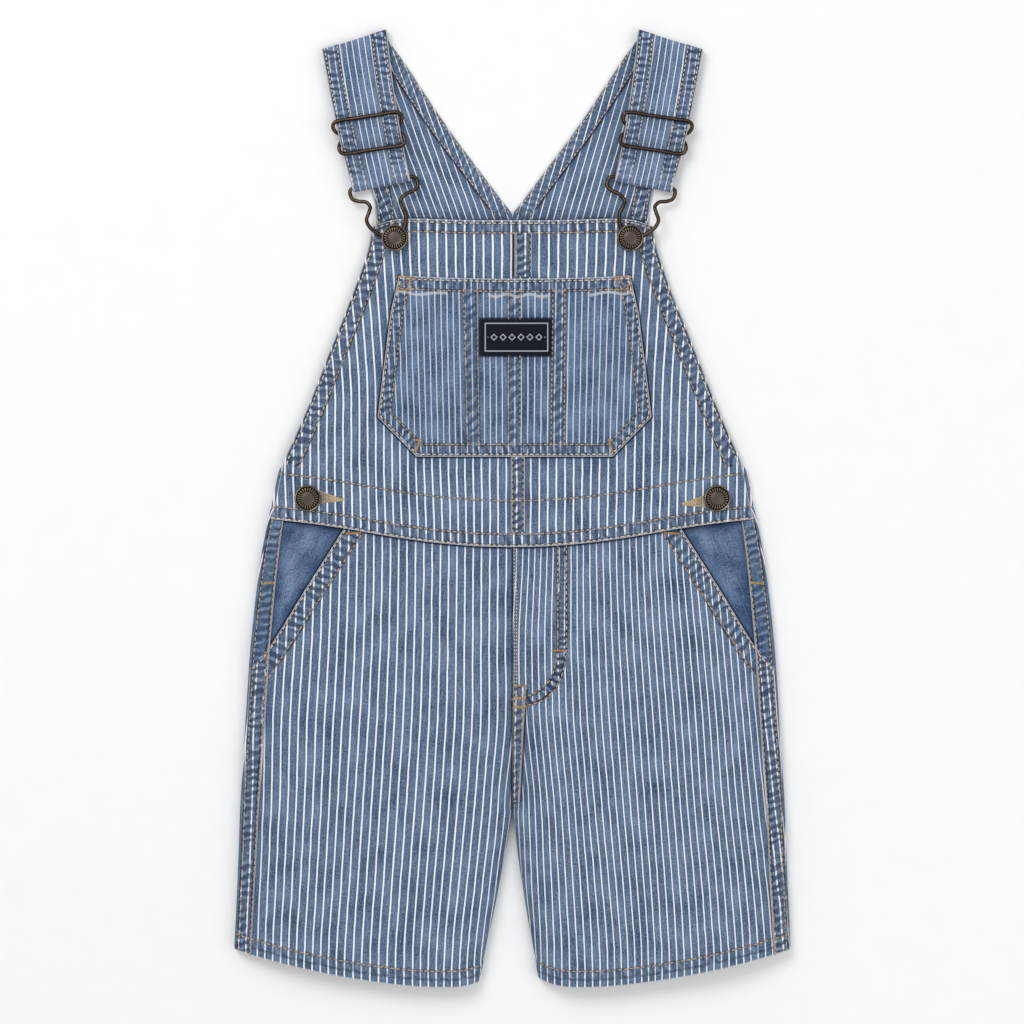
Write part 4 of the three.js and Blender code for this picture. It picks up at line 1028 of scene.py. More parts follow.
def denim(name, dark, pale, navy="#2b3a55", stripe=None, line=0.44, cloudy=0.9, wide_shade=0.22):
    """stripe is the stripes' colour and line half their width in mm. cloudy is the strength of the
    soft clouds, and cover that of the wide band of painted shade beside the edge of what lies on top."""
    material, shader, node, link = new_material(
        name, 0.9, IOR=1.46, Specular_IOR_Level=0.2, Sheen_Weight=0.05, Sheen_Roughness=0.5
    )
    cut = node("ShaderNodeUVMap", {"uv_map": "cut"})
    place = node("ShaderNodeSeparateXYZ", None, cut).node
    seen = {}
    for key, (across, up, detail) in THREADS.items():
        wide, high = node(MATH, TIMES, place.outputs[0], across), node(MATH, TIMES, place.outputs[1], up)
        where = node("ShaderNodeCombineXYZ", None, wide, high)
        seen[key] = node(NOISE, FLAT_NOISE, Vector=where, Scale=1.0, Detail=detail)
    mm = {key: node("ShaderNodeAttribute", {"attribute_name": key}, out="Fac") for key in (
        "stripe", "gauge", "ridge", "seam", "off", "half", "run", "under", "rim"
    )}  # fmt: skip
    tone, middle = 0.0, 0.0
    for key, share in (("fleck", 1.15), ("slub", 0.6), ("weft", 0.35), ("cloud", cloudy)):
        tone = node(MATH, PLUS, node(MATH, TIMES, seen[key], share), tone)
        middle += share / 2
    tint = node(RANGE, None, tone, middle - 0.42, middle + 0.42)
    colour = node(MIXER, COLOUR, tint, i6=linear(dark), i7=linear(pale), out=2)

    # Seams: a ladder of pale ridges and navy hollows between the rows, and the groove beside each row painted
    # darker as shade.
    wobble = node(MATH, TIMES, node(MATH, LESS, seen["crumple"], 0.5), 0.7)
    rung = node(MATH, SIZE, node(MATH, LESS, node(MATH, PART, node(MATH, PLUS, mm["run"], wobble)), 0.5))
    from_row = node(MATH, LESS, node(MATH, SIZE, mm["off"]), mm["half"])
    within = node(MATH, TIMES, node(RANGE, SOFT, from_row, 0.3, -0.5), mm["seam"])
    in_clouds = node(RANGE, SOFT, seen["cloud"], 0.34, 0.58)
    hollow = node(MATH, TIMES, node(RANGE, SOFT, rung, 0.31, 0.18), in_clouds)
    hollow = node(MATH, TIMES, hollow, within)
    in_crumples = node(RANGE, SOFT, seen["crumple"], 0.40, 0.60)
    bar = node(MATH, TIMES, node(RANGE, SOFT, rung, 0.36, 0.46), in_crumples)
    bar = node(MATH, TIMES, bar, within)
    # The groove along each row of stitches is painted dark as shade, in patches.
    row_groove_shade = node(MATH, TIMES, node(RANGE, SOFT, node(MATH, SIZE, from_row), 1.15, 0.35), mm["seam"])
    row_groove_shade = node(MATH, TIMES, row_groove_shade, node(RANGE, SOFT, seen["crumple"], 0.28, 0.50))
    low = node(MATH, TIMES, node(RANGE, SOFT, mm["ridge"], -0.1, -1.1), mm["seam"])

    if stripe:
        steps = node(MATH, PLUS, mm["stripe"], node(MATH, TIMES, node(MATH, LESS, seen["slub"], 0.5), 0.03))
        steps = node(MATH, PLUS, steps, node(MATH, TIMES, node(MATH, LESS, seen["cloud"], 0.5), 0.14))
        away = node(MATH, SIZE, node(MATH, LESS, node(MATH, PART, steps), 0.5))
        away = node(MATH, TIMES, away, mm["gauge"])
        beside_line = node(MATH, TIMES, node(RANGE, SOFT, away, line + 1.3, line + 0.3), 0.22)
        colour = node(MIXER, COLOUR, beside_line, i6=colour, i7=linear(navy), out=2)
        worn = node(RANGE, None, seen["fleck"], 0.25, 0.6, 0.82, 1.0)
        undyed = node(MATH, TIMES, node(RANGE, SOFT, away, line + 0.18, line - 0.18), worn)
        kept = node(MATH, LESS, 1.0, node(MATH, TIMES, hollow, 0.45))
        colour = node(MIXER, COLOUR, node(MATH, TIMES, undyed, kept), i6=colour, i7=linear(stripe), out=2)
    shades = (
        (node(MATH, TIMES, low, 0.25), navy),
        (node(MATH, TIMES, bar, 0.38), "#aab5c4"),
        (node(MATH, TIMES, hollow, 0.78), navy),
        # the groove beside each row, painted dark as shade
        (node(MATH, TIMES, row_groove_shade, 0.80), "#1a2236"),
        # Painted shadow beside the edge of what lies on top: a wide soft band, and a dark line close to the
        # edge that also stands for dye the wash didn't reach.
        (node(MATH, TIMES, node(RANGE, SOFT, mm["under"], 8.0, 0.4), wide_shade), "#2b3f66"),
        (node(MATH, TIMES, node(RANGE, SOFT, mm["under"], 1.5, 0.7), 0.85), "#16213a"),
        (node(MATH, TIMES, node(RANGE, SOFT, mm["rim"], 0.8, 0.35), 0.6), "#c9ccd0"),
    )
    for strength, shade in shades:
        colour = node(MIXER, COLOUR, strength, i6=colour, i7=linear(shade), out=2)
    link(colour, shader.inputs["Base Color"])
    ladder = node(MATH, LESS, node(MATH, LESS, bar, hollow), row_groove_shade)
    height = node(MATH, PLUS, node(MATH, TIMES, tone, 0.5), ladder)
    link(node(BUMP, None, Height=height, Strength=0.45, Distance=0.0004), shader.inputs["Normal"])
    return material


hickory = denim("hickory_striped_washed_denim", "#2f4664", "#788fae", stripe="#fbfaf8")
pocketing = denim(
    "pocket_striped_washed_denim", "#2d4463", "#738baa", stripe="#cfd5df", line=0.36, cloudy=1.1
)  # fmt: skip
strapping = denim("strap_striped_washed_denim", "#384f70", "#8095b4", stripe="#e3e7ec", line=0.42)
# The facing gets a stronger band of painted shade beside the edges that lie over it.
plain = denim("plain_washed_denim", "#2e4565", "#768cab", cloudy=1.5, wide_shade=0.5)
for name, panel in panels.items():
    if name != "bib_label_weave":
        kind = plain if name.startswith("hip_facing") else pocketing if "pocket" in name else hickory
        kind = strapping if name.startswith("strap") else kind
        panel.data.materials.append(kind)
print("denim panels:", len(panels) - 1)


# %% [markdown]
# ## Woven label
# A damask label: dark navy satin ground with a pale border and a row of small diamonds, drawn in the
# label's own cut. Its ends are folded under and it is stitched all round.

# %% Label material
def woven_label():
    """Every size here is in metres on the label's own cut."""
    material, shader, node, link = new_material("navy_damask_label", 0.7, Specular_IOR_Level=0.15)
    cut = node("ShaderNodeSeparateXYZ", None, node("ShaderNodeUVMap", {"uv_map": "cut"})).node
    s, t = cut.outputs[0], node(MATH, LESS, cut.outputs[1], LABEL[3] / 2 * MM)
    side_gap = node(MATH, LESS, LABEL[2] / 2 * MM, node(MATH, SIZE, s))
    top_gap = node(MATH, LESS, LABEL[3] / 2 * MM, node(MATH, SIZE, t))
    from_border = node(MATH, SIZE, node(MATH, LESS, node(MATH, LEAST, side_gap, top_gap), 2.3 * MM))
    border = node(RANGE, SOFT, from_border, 0.42 * MM, 0.22 * MM)
    cell = node(MATH, SIZE, node(MATH, LESS, node(MATH, PART, node(MATH, TIMES, s, 1 / (5.2 * MM))), 0.5))
    diamond = node(MATH, PLUS, node(MATH, TIMES, cell, 5.2 * MM), node(MATH, SIZE, t))
    ring = node(RANGE, SOFT, node(MATH, SIZE, node(MATH, LESS, diamond, 1.7 * MM)), 0.5 * MM, 0.25 * MM)
    ring = node(MATH, TIMES, ring, node(RANGE, SOFT, side_gap, 3.6 * MM, 4.0 * MM))
    pattern = node(MATH, MOST, border, ring)
    pick = node(MATH, WAVE, node(MATH, TIMES, cut.outputs[1], 2 * math.pi / (0.55 * MM)))
    shade = node(NOISE, None, Vector=node("ShaderNodeTexCoord", out="Object"), Scale=700.0, Detail=2.0)
    ground = node(MIXER, COLOUR, shade, i6=linear("#05070e"), i7=linear("#121826"), out=2)
    woven = node(MATH, TIMES, pattern, 0.85)
    link(node(MIXER, COLOUR, woven, i6=ground, i7=linear("#b4b9c4"), out=2), shader.inputs["Base Color"])
    relief = node(MATH, PLUS, pick, pattern)
    link(node(BUMP, None, Height=relief, Strength=0.3, Distance=0.0002), shader.inputs["Normal"])
    return material


label.data.materials.append(woven_label())

# %% [markdown]
# ## Metal
# Jeans hardware is brass wire and stamped brass, plated nearly black and tumbled: brown-black in the
# hollows and worn to brown on the high places of the buttons. On the wires the top side is painted
# lighter as a highlight and the underside darker as shade. It keeps the metal's default IOR.

# %% Antique brass
def antique_brass(name, hollow_and_shade_colour, plate, worn_and_highlight_colour):
    material, shader, node, link = new_material(name, 0.34, Metallic=1.0)
    place = node("ShaderNodeTexCoord", out="Object")
    patina = node(NOISE, None, Vector=place, Scale=1500.0, Detail=3.0)
    rub = node("ShaderNodeAttribute", {"attribute_name": "rub"}, out="Fac")
    # On the wires the top side takes the brown worn colour as a painted highlight and the underside the
    # darkest colour as painted shade. On the buttons the high places are worn brown and the hollows keep the
    # dark patina.
    worn = node(RANGE, SOFT, node(MATH, PLUS, rub, node(MATH, TIMES, patina, 0.5)), 1.0, 1.4)
    kept = node(RANGE, SOFT, node(MATH, PLUS, rub, node(MATH, TIMES, patina, 0.5)), 0.2, 0.75)
    colour = node(MIXER, COLOUR, kept, i6=linear(hollow_and_shade_colour), i7=linear(plate), out=2)
    link(node(MIXER, COLOUR, worn, i6=colour, i7=linear(worn_and_highlight_colour), out=2), shader.inputs["Base Color"])
    link(node(BUMP, None, Height=patina, Strength=0.15, Distance=0.0001), shader.inputs["Normal"])
    return material


def thread(name, colour, shade):
    """Spun polyester thread: matt, with its plies as fine bands along it."""
    material, shader, node, link = new_material(name, 0.75, Specular_IOR_Level=0.25)
    ply = node(NOISE, None, Vector=node("ShaderNodeTexCoord", out="Object"), Scale=900.0, Detail=2.0)
    link(node(MIXER, COLOUR, ply, i6=linear(shade), i7=linear(colour), out=2), shader.inputs["Base Color"])
    return material


# The wires' brown top is a painted highlight and their near-black underside painted shade.
wire_brass = antique_brass("tumbled_antique_brass_wire", "#14100e", "#241e1a", "#6b5b4c")
cap_brass = antique_brass("stamped_antique_brass", "#241d18", "#625950", "#a2937f")
tan_thread = thread("tan_polyester_thread", "#d2ba98", "#927c64")
cream_thread = thread("cream_polyester_thread", "#e8dccb", "#b9a68f")
buttonhole_thread = thread("pale_buttonhole_thread", "#dcc8a6", "#8f7a5e")
ochre_thread = thread("ochre_polyester_thread", "#d2ab6e", "#9a7440")
navy_thread = thread("navy_polyester_thread", "#262e40", "#121827")

# %% [markdown]
# ## Stitches with Geometry Nodes
# Topstitching is thread lying on the cloth, in short lengths that dive in at each end. One node tree
# lays a small rounded stitch at even steps along every row, turned along the row and level with the
# cloth. Modelling them one by one, or painting them, would lose either time or their form.

# %% The stitch tree
def stitch_tree():
    tree = bpy.data.node_groups.new("lay_stitches", "GeometryNodeTree")
    face = tree.interface
    face.new_socket("Geometry", in_out="INPUT", socket_type="NodeSocketGeometry")
    for name, kind, value in (
        ("Step", "Float", 0.003), ("Stitch Length", "Float", 0.0024), ("Thread Width", "Float", 0.0006),
        ("Turn", "Float", 0.0), ("Seed", "Int", 5), ("Thread", "Material", None),
    ):  # fmt: skip
        socket = face.new_socket(name, in_out="INPUT", socket_type="NodeSocket" + kind)
        if value is not None:
            socket.default_value = value
    face.new_socket("Geometry", in_out="OUTPUT", socket_type="NodeSocketGeometry")
    node = functools.partial(add, tree)
    given = node("NodeGroupInput").node.outputs
    curve = node("GeometryNodeMeshToCurve", None, given["Geometry"])
    even = node("GeometryNodeResampleCurve", {"mode": "LENGTH"}, curve, Length=given["Step"])
    up = node("GeometryNodeInputNamedAttribute", {"data_type": "FLOAT_VECTOR"}, "up")
    along_row = node("FunctionNodeAlignEulerToVector", {"axis": "X"}, Vector=node("GeometryNodeInputTangent"))
    level = node("FunctionNodeAlignEulerToVector", {"axis": "Z", "pivot_axis": "X"}, along_row, Vector=up)
    turned = node("ShaderNodeCombineXYZ", Z=given["Turn"])
    own = {"rotation_type": "EULER", "space": "LOCAL"}
    rotation = node("FunctionNodeRotateEuler", own, level, Rotate_By=turned)
    ball = node("GeometryNodeMeshUVSphere", Segments=8, Rings=5, Radius=0.5)
    height = node(MATH, TIMES, given["Thread Width"], 0.75)
    shape = node("ShaderNodeCombineXYZ", None, given["Stitch Length"], given["Thread Width"], height)
    stitch = node("GeometryNodeTransform", Geometry=ball, Scale=shape)
    single = {"data_type": "FLOAT"}
    uneven = node("FunctionNodeRandomValue", single, i2=0.84, i3=1.14, Seed=given["Seed"], out=1)
    laid = node("GeometryNodeInstanceOnPoints", None, even, Instance=stitch, Rotation=rotation, Scale=uneven)
    real = node("GeometryNodeRealizeInstances", None, laid)
    soft = node("GeometryNodeSetShadeSmooth", Geometry=real)
    node("NodeGroupOutput", None, node("GeometryNodeSetMaterial", Geometry=soft, Material=given["Thread"]))
    return tree


STITCHES = stitch_tree()

# %% [markdown]
# ## Where the rows lie
# Rows are drawn flat, as on a pattern, and dropped onto the finished cloth from above with a ray, so
# that each stitch rises and falls with the puckers. Underside rows are dropped from below.

# %% Dropping rows onto the cloth
def cloth_tree(names):
    points, faces, start = [], [], 0
    for name in names:
        mesh = panels[name].data
        points += [v.co.copy() for v in mesh.vertices]
        faces += [[start + k for k in p.vertices] for p in mesh.polygons]
        start = len(points)
    return BVHTree.FromPolygons(points, faces)


whole = cloth_tree(list(panels))
back_alone = cloth_tree(["back_left_denim", "back_right_denim"])


def finer(line, step=1.2):
    line = np.asarray(line, float)
    lengths = np.concatenate([[0], np.cumsum(np.hypot(*np.diff(line, axis=0).T))])
    want = np.linspace(0, lengths[-1], max(int(lengths[-1] / step), 2) + 1)
    return np.stack([np.interp(want, lengths, line[:, 0]), np.interp(want, lengths, line[:, 1])], axis=1)


def dropped(line, below=False, lift=0.12, onto=None):
    """The row's points and the cloth's normals, cut where it leaves the cloth or jumps a level."""
    runs, points, ups = [], [], []
    way = Vector((0, 0, 1 if below else -1))
    for x, y in finer(line):
        hit, normal, _, _ = (onto or whole).ray_cast(Vector((x * MM, y * MM, -0.05 if below else 0.05)), way)
        if hit is not None:
            normal = normal if normal.z * (-1 if below else 1) > 0 else -normal
            new = np.array(hit) / MM + np.array(normal) * lift
            if points and abs(new[2] - points[-1][2]) > 1.3:
                runs.append((points, ups))
                points, ups = [], []
            points.append(new)
            ups.append(np.array(normal))
        elif points:
            runs.append((points, ups))
            points, ups = [], []
    runs.append((points, ups))
    return [r for r in runs if len(r[0]) > 2]


def sew(
    name, lines, material, step=3.3, long=2.75, wide=0.82, turn=0.0, seed=5, below=False, lift=0.12,
    onto=None,
):  # fmt: skip
    """Stitches of one thread along rows. step, long and wide are a stitch's own sizes in mm."""
    runs = [r for line in lines for r in dropped(line, below, lift, onto)]
    mesh = bpy.data.meshes.new(name)
    points = np.concatenate([np.array(p) for p, _ in runs])
    edges, start = [], 0
    for p, _ in runs:
        edges += [(start + i, start + i + 1) for i in range(len(p) - 1)]
        start += len(p)
    mesh.from_pydata([tuple(p) for p in points * MM], edges, [])
    up = mesh.attributes.new("up", "FLOAT_VECTOR", "POINT")
    up.data.foreach_set("vector", np.concatenate([np.array(u) for _, u in runs]).astype(np.float32).ravel())
    rows = bpy.data.objects.new(name + "_rows", mesh)
    bpy.context.scene.collection.objects.link(rows)
    modifier = rows.modifiers.new("stitches", "NODES")
    modifier.node_group = STITCHES
    sockets = {i.name: i.identifier for i in STITCHES.interface.items_tree if i.in_out == "INPUT"}
    for key, value in (
        ("Step", step * MM), ("Stitch Length", long * MM), ("Thread Width", wide * MM),
        ("Turn", math.radians(turn)), ("Seed", seed), ("Thread", material),
    ):  # fmt: skip
        modifier[sockets[key]] = value
    bpy.context.view_layer.update()
    result = bpy.data.meshes.new_from_object(rows.evaluated_get(bpy.context.evaluated_depsgraph_get()))
    bpy.data.objects.remove(rows)
    obj = bpy.data.objects.new(name, result)
    bpy.context.scene.collection.objects.link(obj)
    length = sum(np.linalg.norm(np.diff(np.array(p), axis=0), axis=1).sum() for p, _ in runs)
    print(f"{name}: {length / 1000:.2f} m of row, {len(result.polygons)} faces")
    return obj


def strap_line(side, edge, inset, s0, s1):
    s = np.linspace(s0, s1, 12)
    q, y = strap_place(edge * (mix(STRAP_HALF, SHOULDER_HALF, s / SHOULDER_S) - inset), s)
    return np.stack([side * q, y], axis=1)


def both(make):
    return [make(side) for side in (-1, 1)]


# %% Rows on the bib and the pocket
edge_rows = (
    both(lambda k: across_line(k, bib_top, -1.8, 0.6, 79))
    + both(lambda k: bib_side_line(k, 2.1, 26, 163.5))
    + both(lambda k: across_line(k, waist_seam, 0.9, 0.6, 139))
    + [mouth_line(1.6)]
    + both(lambda k: pocket_inset(k, 1.3))
    + both(lambda k: hip_line(k, 1.3, -93, -14))
)
bib_rows = (
    both(lambda k: across_line(k, bib_top, -7.4, 0.6, 79.5))
    + both(lambda k: bib_side_line(k, 9.9, 24, 159))
    + both(lambda k: across_line(k, waist_seam, 7.4, 0.6, 138))
    + both(lambda k: across_line(k, waist_seam, 26.8, 0.6, 134.5))
    + [[(2.2, 134), (2.2, 159)], [(10.4, 134), (10.4, 159)], [(0.1, -15), (0.1, 29)], [(6.1, -15), (6.1, 29)]]
)
pocket_rows = [mouth_line(7.4)] + both(lambda k: pocket_inset(k, 7.0))
for x0, x1 in POCKET_COLUMNS:
    middle, low, high = (x0 + x1) / 2, LABEL[1] - LABEL[3] / 2 - 0.6, LABEL[1] + LABEL[3] / 2 + 0.6
    if abs(middle - LABEL[0]) < LABEL[2] / 2:
        pocket_rows += [[(x0, 126), (x0, high)], [(x0, low), (x1, 37)]]
    else:
        pocket_rows.append([(x0, 126), (x1, 37)])
lx, ly, lw, lh = LABEL[0], LABEL[1], LABEL[2] / 2 - 1.0, LABEL[3] / 2 - 1.0
label_corners = [(-1, -1), (1, -1), (1, 1), (-1, 1), (-1, -1)]
label_rows = [[(lx + lw * i, ly + lh * j) for i, j in label_corners]]
stitches = [
    sew("edge_topstitching", edge_rows, cream_thread, seed=7),
    sew("bib_topstitching", bib_rows, tan_thread),
    sew("pocket_topstitching", pocket_rows, tan_thread, step=3.0, long=2.5, wide=0.75, seed=9),
    sew("label_stitching", label_rows, navy_thread, step=2.2, long=1.8, wide=0.4, seed=3),
]

# %% Rows on the legs, straps and back
leg_heights = range(-266, -8, 6)


def outseam_row(side, y):
    return side * (float(outline(y)) - float(outseam_inset(y)) + 0.95), y


leg_rows = (
    both(lambda k: leg_hem_line(k, 9.4))
    + both(lambda k: [(k * 86.5, -14), (k * 142.6, -100.6)])
    + both(lambda k: outseam_line(k, 2.7, -266, -8))
    + both(lambda k: [outseam_row(k, y) for y in leg_heights])
    + [FLY_OUTER, FLY_INNER, [(1.3, -168), (1.3, -104)], [(3.4, -168), (6.8, -104)]]
)
chain_rows = [[(0.9, -24), (1.2, -103)], [(2.2, -24), (2.5, -103)]]
strap_rows = [
    strap_line(k, edge, inset, s0, s1)
    for k in (-1, 1)
    for edge in (-1, 1)
    for inset in (1.5, 8.7)
    for s0, s1 in ((2, SLIDE_LOW - 2.5), (SLIDE_LOW + 2.5, SLIDE_TOP - 2.5), (SLIDE_TOP + 2.5, 82))
]
neck_rows = both(lambda k: neck_line(k, 1.6, 172, 266)) + both(lambda k: neck_line(k, 10.2, 168, 266))
armhole_rows = [
    [(k * (float(back_outer(y)) - inset), y) for y in range(166, 262, 6)]
    for k in (-1, 1)
    for inset in (2.0, 9.8)
]
stitches += [
    sew("leg_topstitching", leg_rows, tan_thread, seed=11),
    sew("centre_chain_stitch", chain_rows, cream_thread, step=2.0, long=1.4, wide=0.75, seed=12),
    sew("strap_topstitching", strap_rows, cream_thread, step=2.7, long=2.0, wide=0.75, seed=13),
    sew(
        "back_topstitching", neck_rows + armhole_rows, cream_thread, step=2.7, long=2.2, wide=0.6, seed=15,
        onto=back_alone,
    ),  # fmt: skip
]


# %% [markdown]
# ## Bar tacks and buttonholes
# Where a seam takes strain, the machine sews a dense zigzag across it in ochre thread. The same tree
# makes it, with a step smaller than the thread and each stitch turned across the row.

# %% Bar tacks
tack_lines = [
    [(-67.2, 133.6), (-58.6, 133.6)], [(-67.2, 126.2), (-58.6, 126.2)], [(-67.2, 133.6), (-67.2, 126.2)],
    [(-58.6, 133.6), (-58.6, 126.2)], [(-67.2, 126.2), (-58.6, 133.6)],
    [(59.8, 133.6), (68.4, 133.6)], [(59.8, 126.2), (68.4, 126.2)], [(68.4, 133.6), (68.4, 126.2)],
    [(59.8, 133.6), (59.8, 126.2)], [(68.4, 126.2), (59.8, 133.6)],
]  # fmt: skip
long_tacks = [
    [(-53.7, 39.7), (-56.0, 32.2)], [(55.7, 39.7), (57.9, 31.6)], [(-96.5, -15.2), (-88.0, -14.6)],
    [(88.0, -14.6), (96.5, -15.2)], [(-145.6, -44.2), (-138.4, -43.6)], [(138.4, -43.6), (145.6, -44.2)],
    [(22.9, -83.0), (30.2, -82.8)], [(0.6, -103.5), (7.8, -103.5)], [(0.6, -110.3), (7.6, -110.3)],
    [(0.6, -115.6), (7.8, -115.6)],
]  # fmt: skip
stitches += [
    sew("box_tacks", tack_lines, ochre_thread, step=1.7, long=1.6, wide=0.75, lift=0.25),
    sew("bar_tacks", long_tacks, ochre_thread, step=0.5, long=1.5, wide=0.5, turn=76, lift=0.25),
]
# A worked buttonhole's stitches fan out from its tack to where they pass under the button.
fan = [
    [(k * 111.2, wide_y + 3.4 * t), (k * 98.9, tip_y + 0.5 * t)]
    for k, wide_y, tip_y in ((-1, 5.9, 4.4), (1, 3.5, 2.1))
    for t in np.linspace(-1, 1, 9)
]
hole_ends = [[(-98.7, 3.7), (-98.4, 5.3)], [(98.7, 1.4), (98.4, 3.0)]]
stitches += [
    sew("buttonhole_stitches", fan, buttonhole_thread, step=1.2, long=1.5, wide=0.62, lift=0.22, seed=21),
    sew("buttonhole_tacks", hole_ends, ochre_thread, step=0.5, long=1.2, wide=0.5, turn=80, lift=0.3),
]

# %% Underside rows
under_rows = (
    both(lambda k: leg_hem_line(k, 9.4, float(inside_leg(k, -275)) + 9, 155))
    + both(lambda k: across_line(k, waist_seam, 2.0, 2, 134))
    + both(lambda k: across_line(k, waist_seam, 11.0, 2, 130))
    + [[(1.6, -160), (1.6, 165)], [(7.4, -160), (7.4, 165)]]
    + both(lambda k: neck_line(k, 1.8, 173, 264))
    + both(lambda k: neck_line(k, 8.4, 173, 264))
)
stitches.append(
    sew("underside_topstitching", under_rows, tan_thread, wide=0.55, seed=17, below=True, lift=0.02)
)  # fmt: skip

# %% [markdown]
# ## Wire hardware
# The slide and the hook are bent from round wire. A ring is swept along a smooth closed line through
# a few bends, with its own frame carried along so that it never twists.

# %% Swept wire
def smooth_loop(points, count):
    points = np.asarray(points, float)
    n = len(points)
    out = []
    for i in range(n):
        p0, p1, p2, p3 = (points[(i + k) % n] for k in (-1, 0, 1, 2))
        t0, t1 = 0.0, np.linalg.norm(p1 - p0) ** 0.5
        t2 = t1 + np.linalg.norm(p2 - p1) ** 0.5
        t3 = t2 + np.linalg.norm(p3 - p2) ** 0.5
        for t in np.linspace(t1, t2, 12, endpoint=False):
            a1 = (t1 - t) / (t1 - t0) * p0 + (t - t0) / (t1 - t0) * p1
            a2 = (t2 - t) / (t2 - t1) * p1 + (t - t1) / (t2 - t1) * p2
            a3 = (t3 - t) / (t3 - t2) * p2 + (t - t2) / (t3 - t2) * p3
            b1 = (t2 - t) / (t2 - t0) * a1 + (t - t0) / (t2 - t0) * a2
            b2 = (t3 - t) / (t3 - t1) * a2 + (t - t1) / (t3 - t1) * a3
            out.append((t2 - t) / (t2 - t1) * b1 + (t - t1) / (t2 - t1) * b2)
    line = np.array(out + [out[0]])
    lengths = np.concatenate([[0], np.cumsum(np.linalg.norm(np.diff(line, axis=0), axis=1))])
    want = np.linspace(0, lengths[-1], count, endpoint=False)
    return np.stack([np.interp(want, lengths, line[:, k]) for k in range(3)], axis=1)


def swept(path, radius, sides=18, closed=True):
    n = len(path)
    ahead = np.roll(path, -1, axis=0) - np.roll(path, 1, axis=0)
    if not closed:
        ahead[0], ahead[-1] = path[1] - path[0], path[-1] - path[-2]
    ahead /= np.linalg.norm(ahead, axis=1, keepdims=True)
    side_way = np.cross(ahead, (0, 0, 1.0))
    side_way /= np.maximum(np.linalg.norm(side_way, axis=1, keepdims=True), 1e-9)
    up = np.cross(side_way, ahead)
    angle = np.linspace(0, 2 * np.pi, sides, endpoint=False)
    # The top of the wire counts 1 and its underside -1, so the finish paints the top lighter as a highlight
    # and the underside darker as shade.
    rub = np.tile(np.sin(angle) * np.sign(up[0, 2]), n)
    ring = path[:, None] + radius * (
        np.cos(angle)[None, :, None] * side_way[:, None] + np.sin(angle)[None, :, None] * up[:, None]
    )
    faces = []
    for i in range(n if closed else n - 1):
        k = (i + 1) % n
        for j in range(sides):
            m = (j + 1) % sides
            faces.append((i * sides + j, i * sides + m, k * sides + m, k * sides + j))
    if not closed:
        faces.append(tuple(range(sides))[::-1])
        faces.append(tuple((n - 1) * sides + j for j in range(sides)))
    return ring.reshape(-1, 3), faces, rub


def mirrored(half):
    return half + [(-a, s, z) for a, s, z in half[::-1]]


def in_strap(side, points):
    placed = [strap_place(a, s) for a, s, _ in points]
    return [(side * float(q), float(y), p[2]) for (q, y), p in zip(placed, points)]


def with_wear_and_highlight(obj, values):
    """How worn each point of a metal piece is: 1 on its high places and 0 in its hollows. On the wires it is
    the top side, so there the lighter top is a painted highlight and the darker underside painted shade.
    """
    layer = obj.data.attributes.new("rub", "FLOAT", "POINT")
    layer.data.foreach_set("value", np.clip(values, 0, 1).astype(np.float32))
    return smoothed(obj, 35)


TOP_HALF, LOW_HALF = SLIDE_TOP_HALF, SLIDE_LOW_HALF
SLIDE_WIRE = [
    (6, SLIDE_TOP, 7.9), (TOP_HALF - 3.2, SLIDE_TOP, 7.9), (TOP_HALF - 0.8, SLIDE_TOP - 1.0, 7.9),
    (TOP_HALF, SLIDE_TOP - 3.4, 7.7), (TOP_HALF - 0.9, SLIDE_TOP - 5.8, 6.9),
    (SLIDE_PINCH + 0.8, SLIDE_MID + 2.2, 6.2), (SLIDE_PINCH, SLIDE_MID, 6.0),
    (SLIDE_PINCH + 0.8, SLIDE_MID - 2.2, 6.2),
    (LOW_HALF - 0.6, SLIDE_LOW + 5.8, 6.9), (LOW_HALF, SLIDE_LOW + 3.4, 7.7),
    (LOW_HALF - 0.8, SLIDE_LOW + 1.0, 7.9), (LOW_HALF - 3.2, SLIDE_LOW, 7.9), (6, SLIDE_LOW, 7.9),
]  # fmt: skip
HOOK_WIRE = [
    (6, 0, 4.6), (17.4, 0, 4.6), (19.3, -0.9, 4.6), (19.9, -3.0, 4.7), (19.3, -6.2, 5.1), (16.2, -8.2, 5.8),
    (11.6, -9.6, 6.5), (9.0, -12.6, 7.2), (9.8, -16.2, 8.7), (11.4, -20.0, 9.1), (10.6, -24.6, 9.1),
    (7.6, -29.0, 9.1), (4.8, -32.2, 9.1), (3.6, -35.4, 9.1), (1.6, -37.3, 9.1),
]  # fmt: skip
metal = {}
for side, word in SIDES:
    tilted = [(a, s + SLIDE_TILT * a, z) for a, s, z in mirrored(SLIDE_WIRE)]
    down = [min(max((-s - 8) / 25.5, 0), 1) for _, s, _ in mirrored(HOOK_WIRE)]
    sway = [HOOK_SWAY * math.sin(math.pi * k) for k in down]
    shifted = [(a + HOOK_IN + out, s, z) for (a, s, z), out in zip(mirrored(HOOK_WIRE), sway)]
    for name, bends in (("slide", tilted), ("hook", shifted)):
        points, faces, rub = swept(smooth_loop(in_strap(side, bends), 260), WIRE)
        if name == "slide":
            ends = (-SLIDE_PINCH, SLIDE_PINCH)
            reach = [(a, SLIDE_MID + SLIDE_TILT * a, SLIDE_MID_Z) for a in ends]
            more, extra, more_wear_and_highlight = swept(np.linspace(*in_strap(side, reach), 12), WIRE, closed=False)
            faces = faces + [tuple(k + len(points) for k in f) for f in extra]
            points, rub = np.concatenate([points, more]), np.concatenate([rub, more_wear_and_highlight])
        metal[f"{name}_{word}"] = with_wear_and_highlight(new_object(f"{name}_{word}_wire", points, faces, wire_brass), rub)
print("wire pieces:", len(metal))


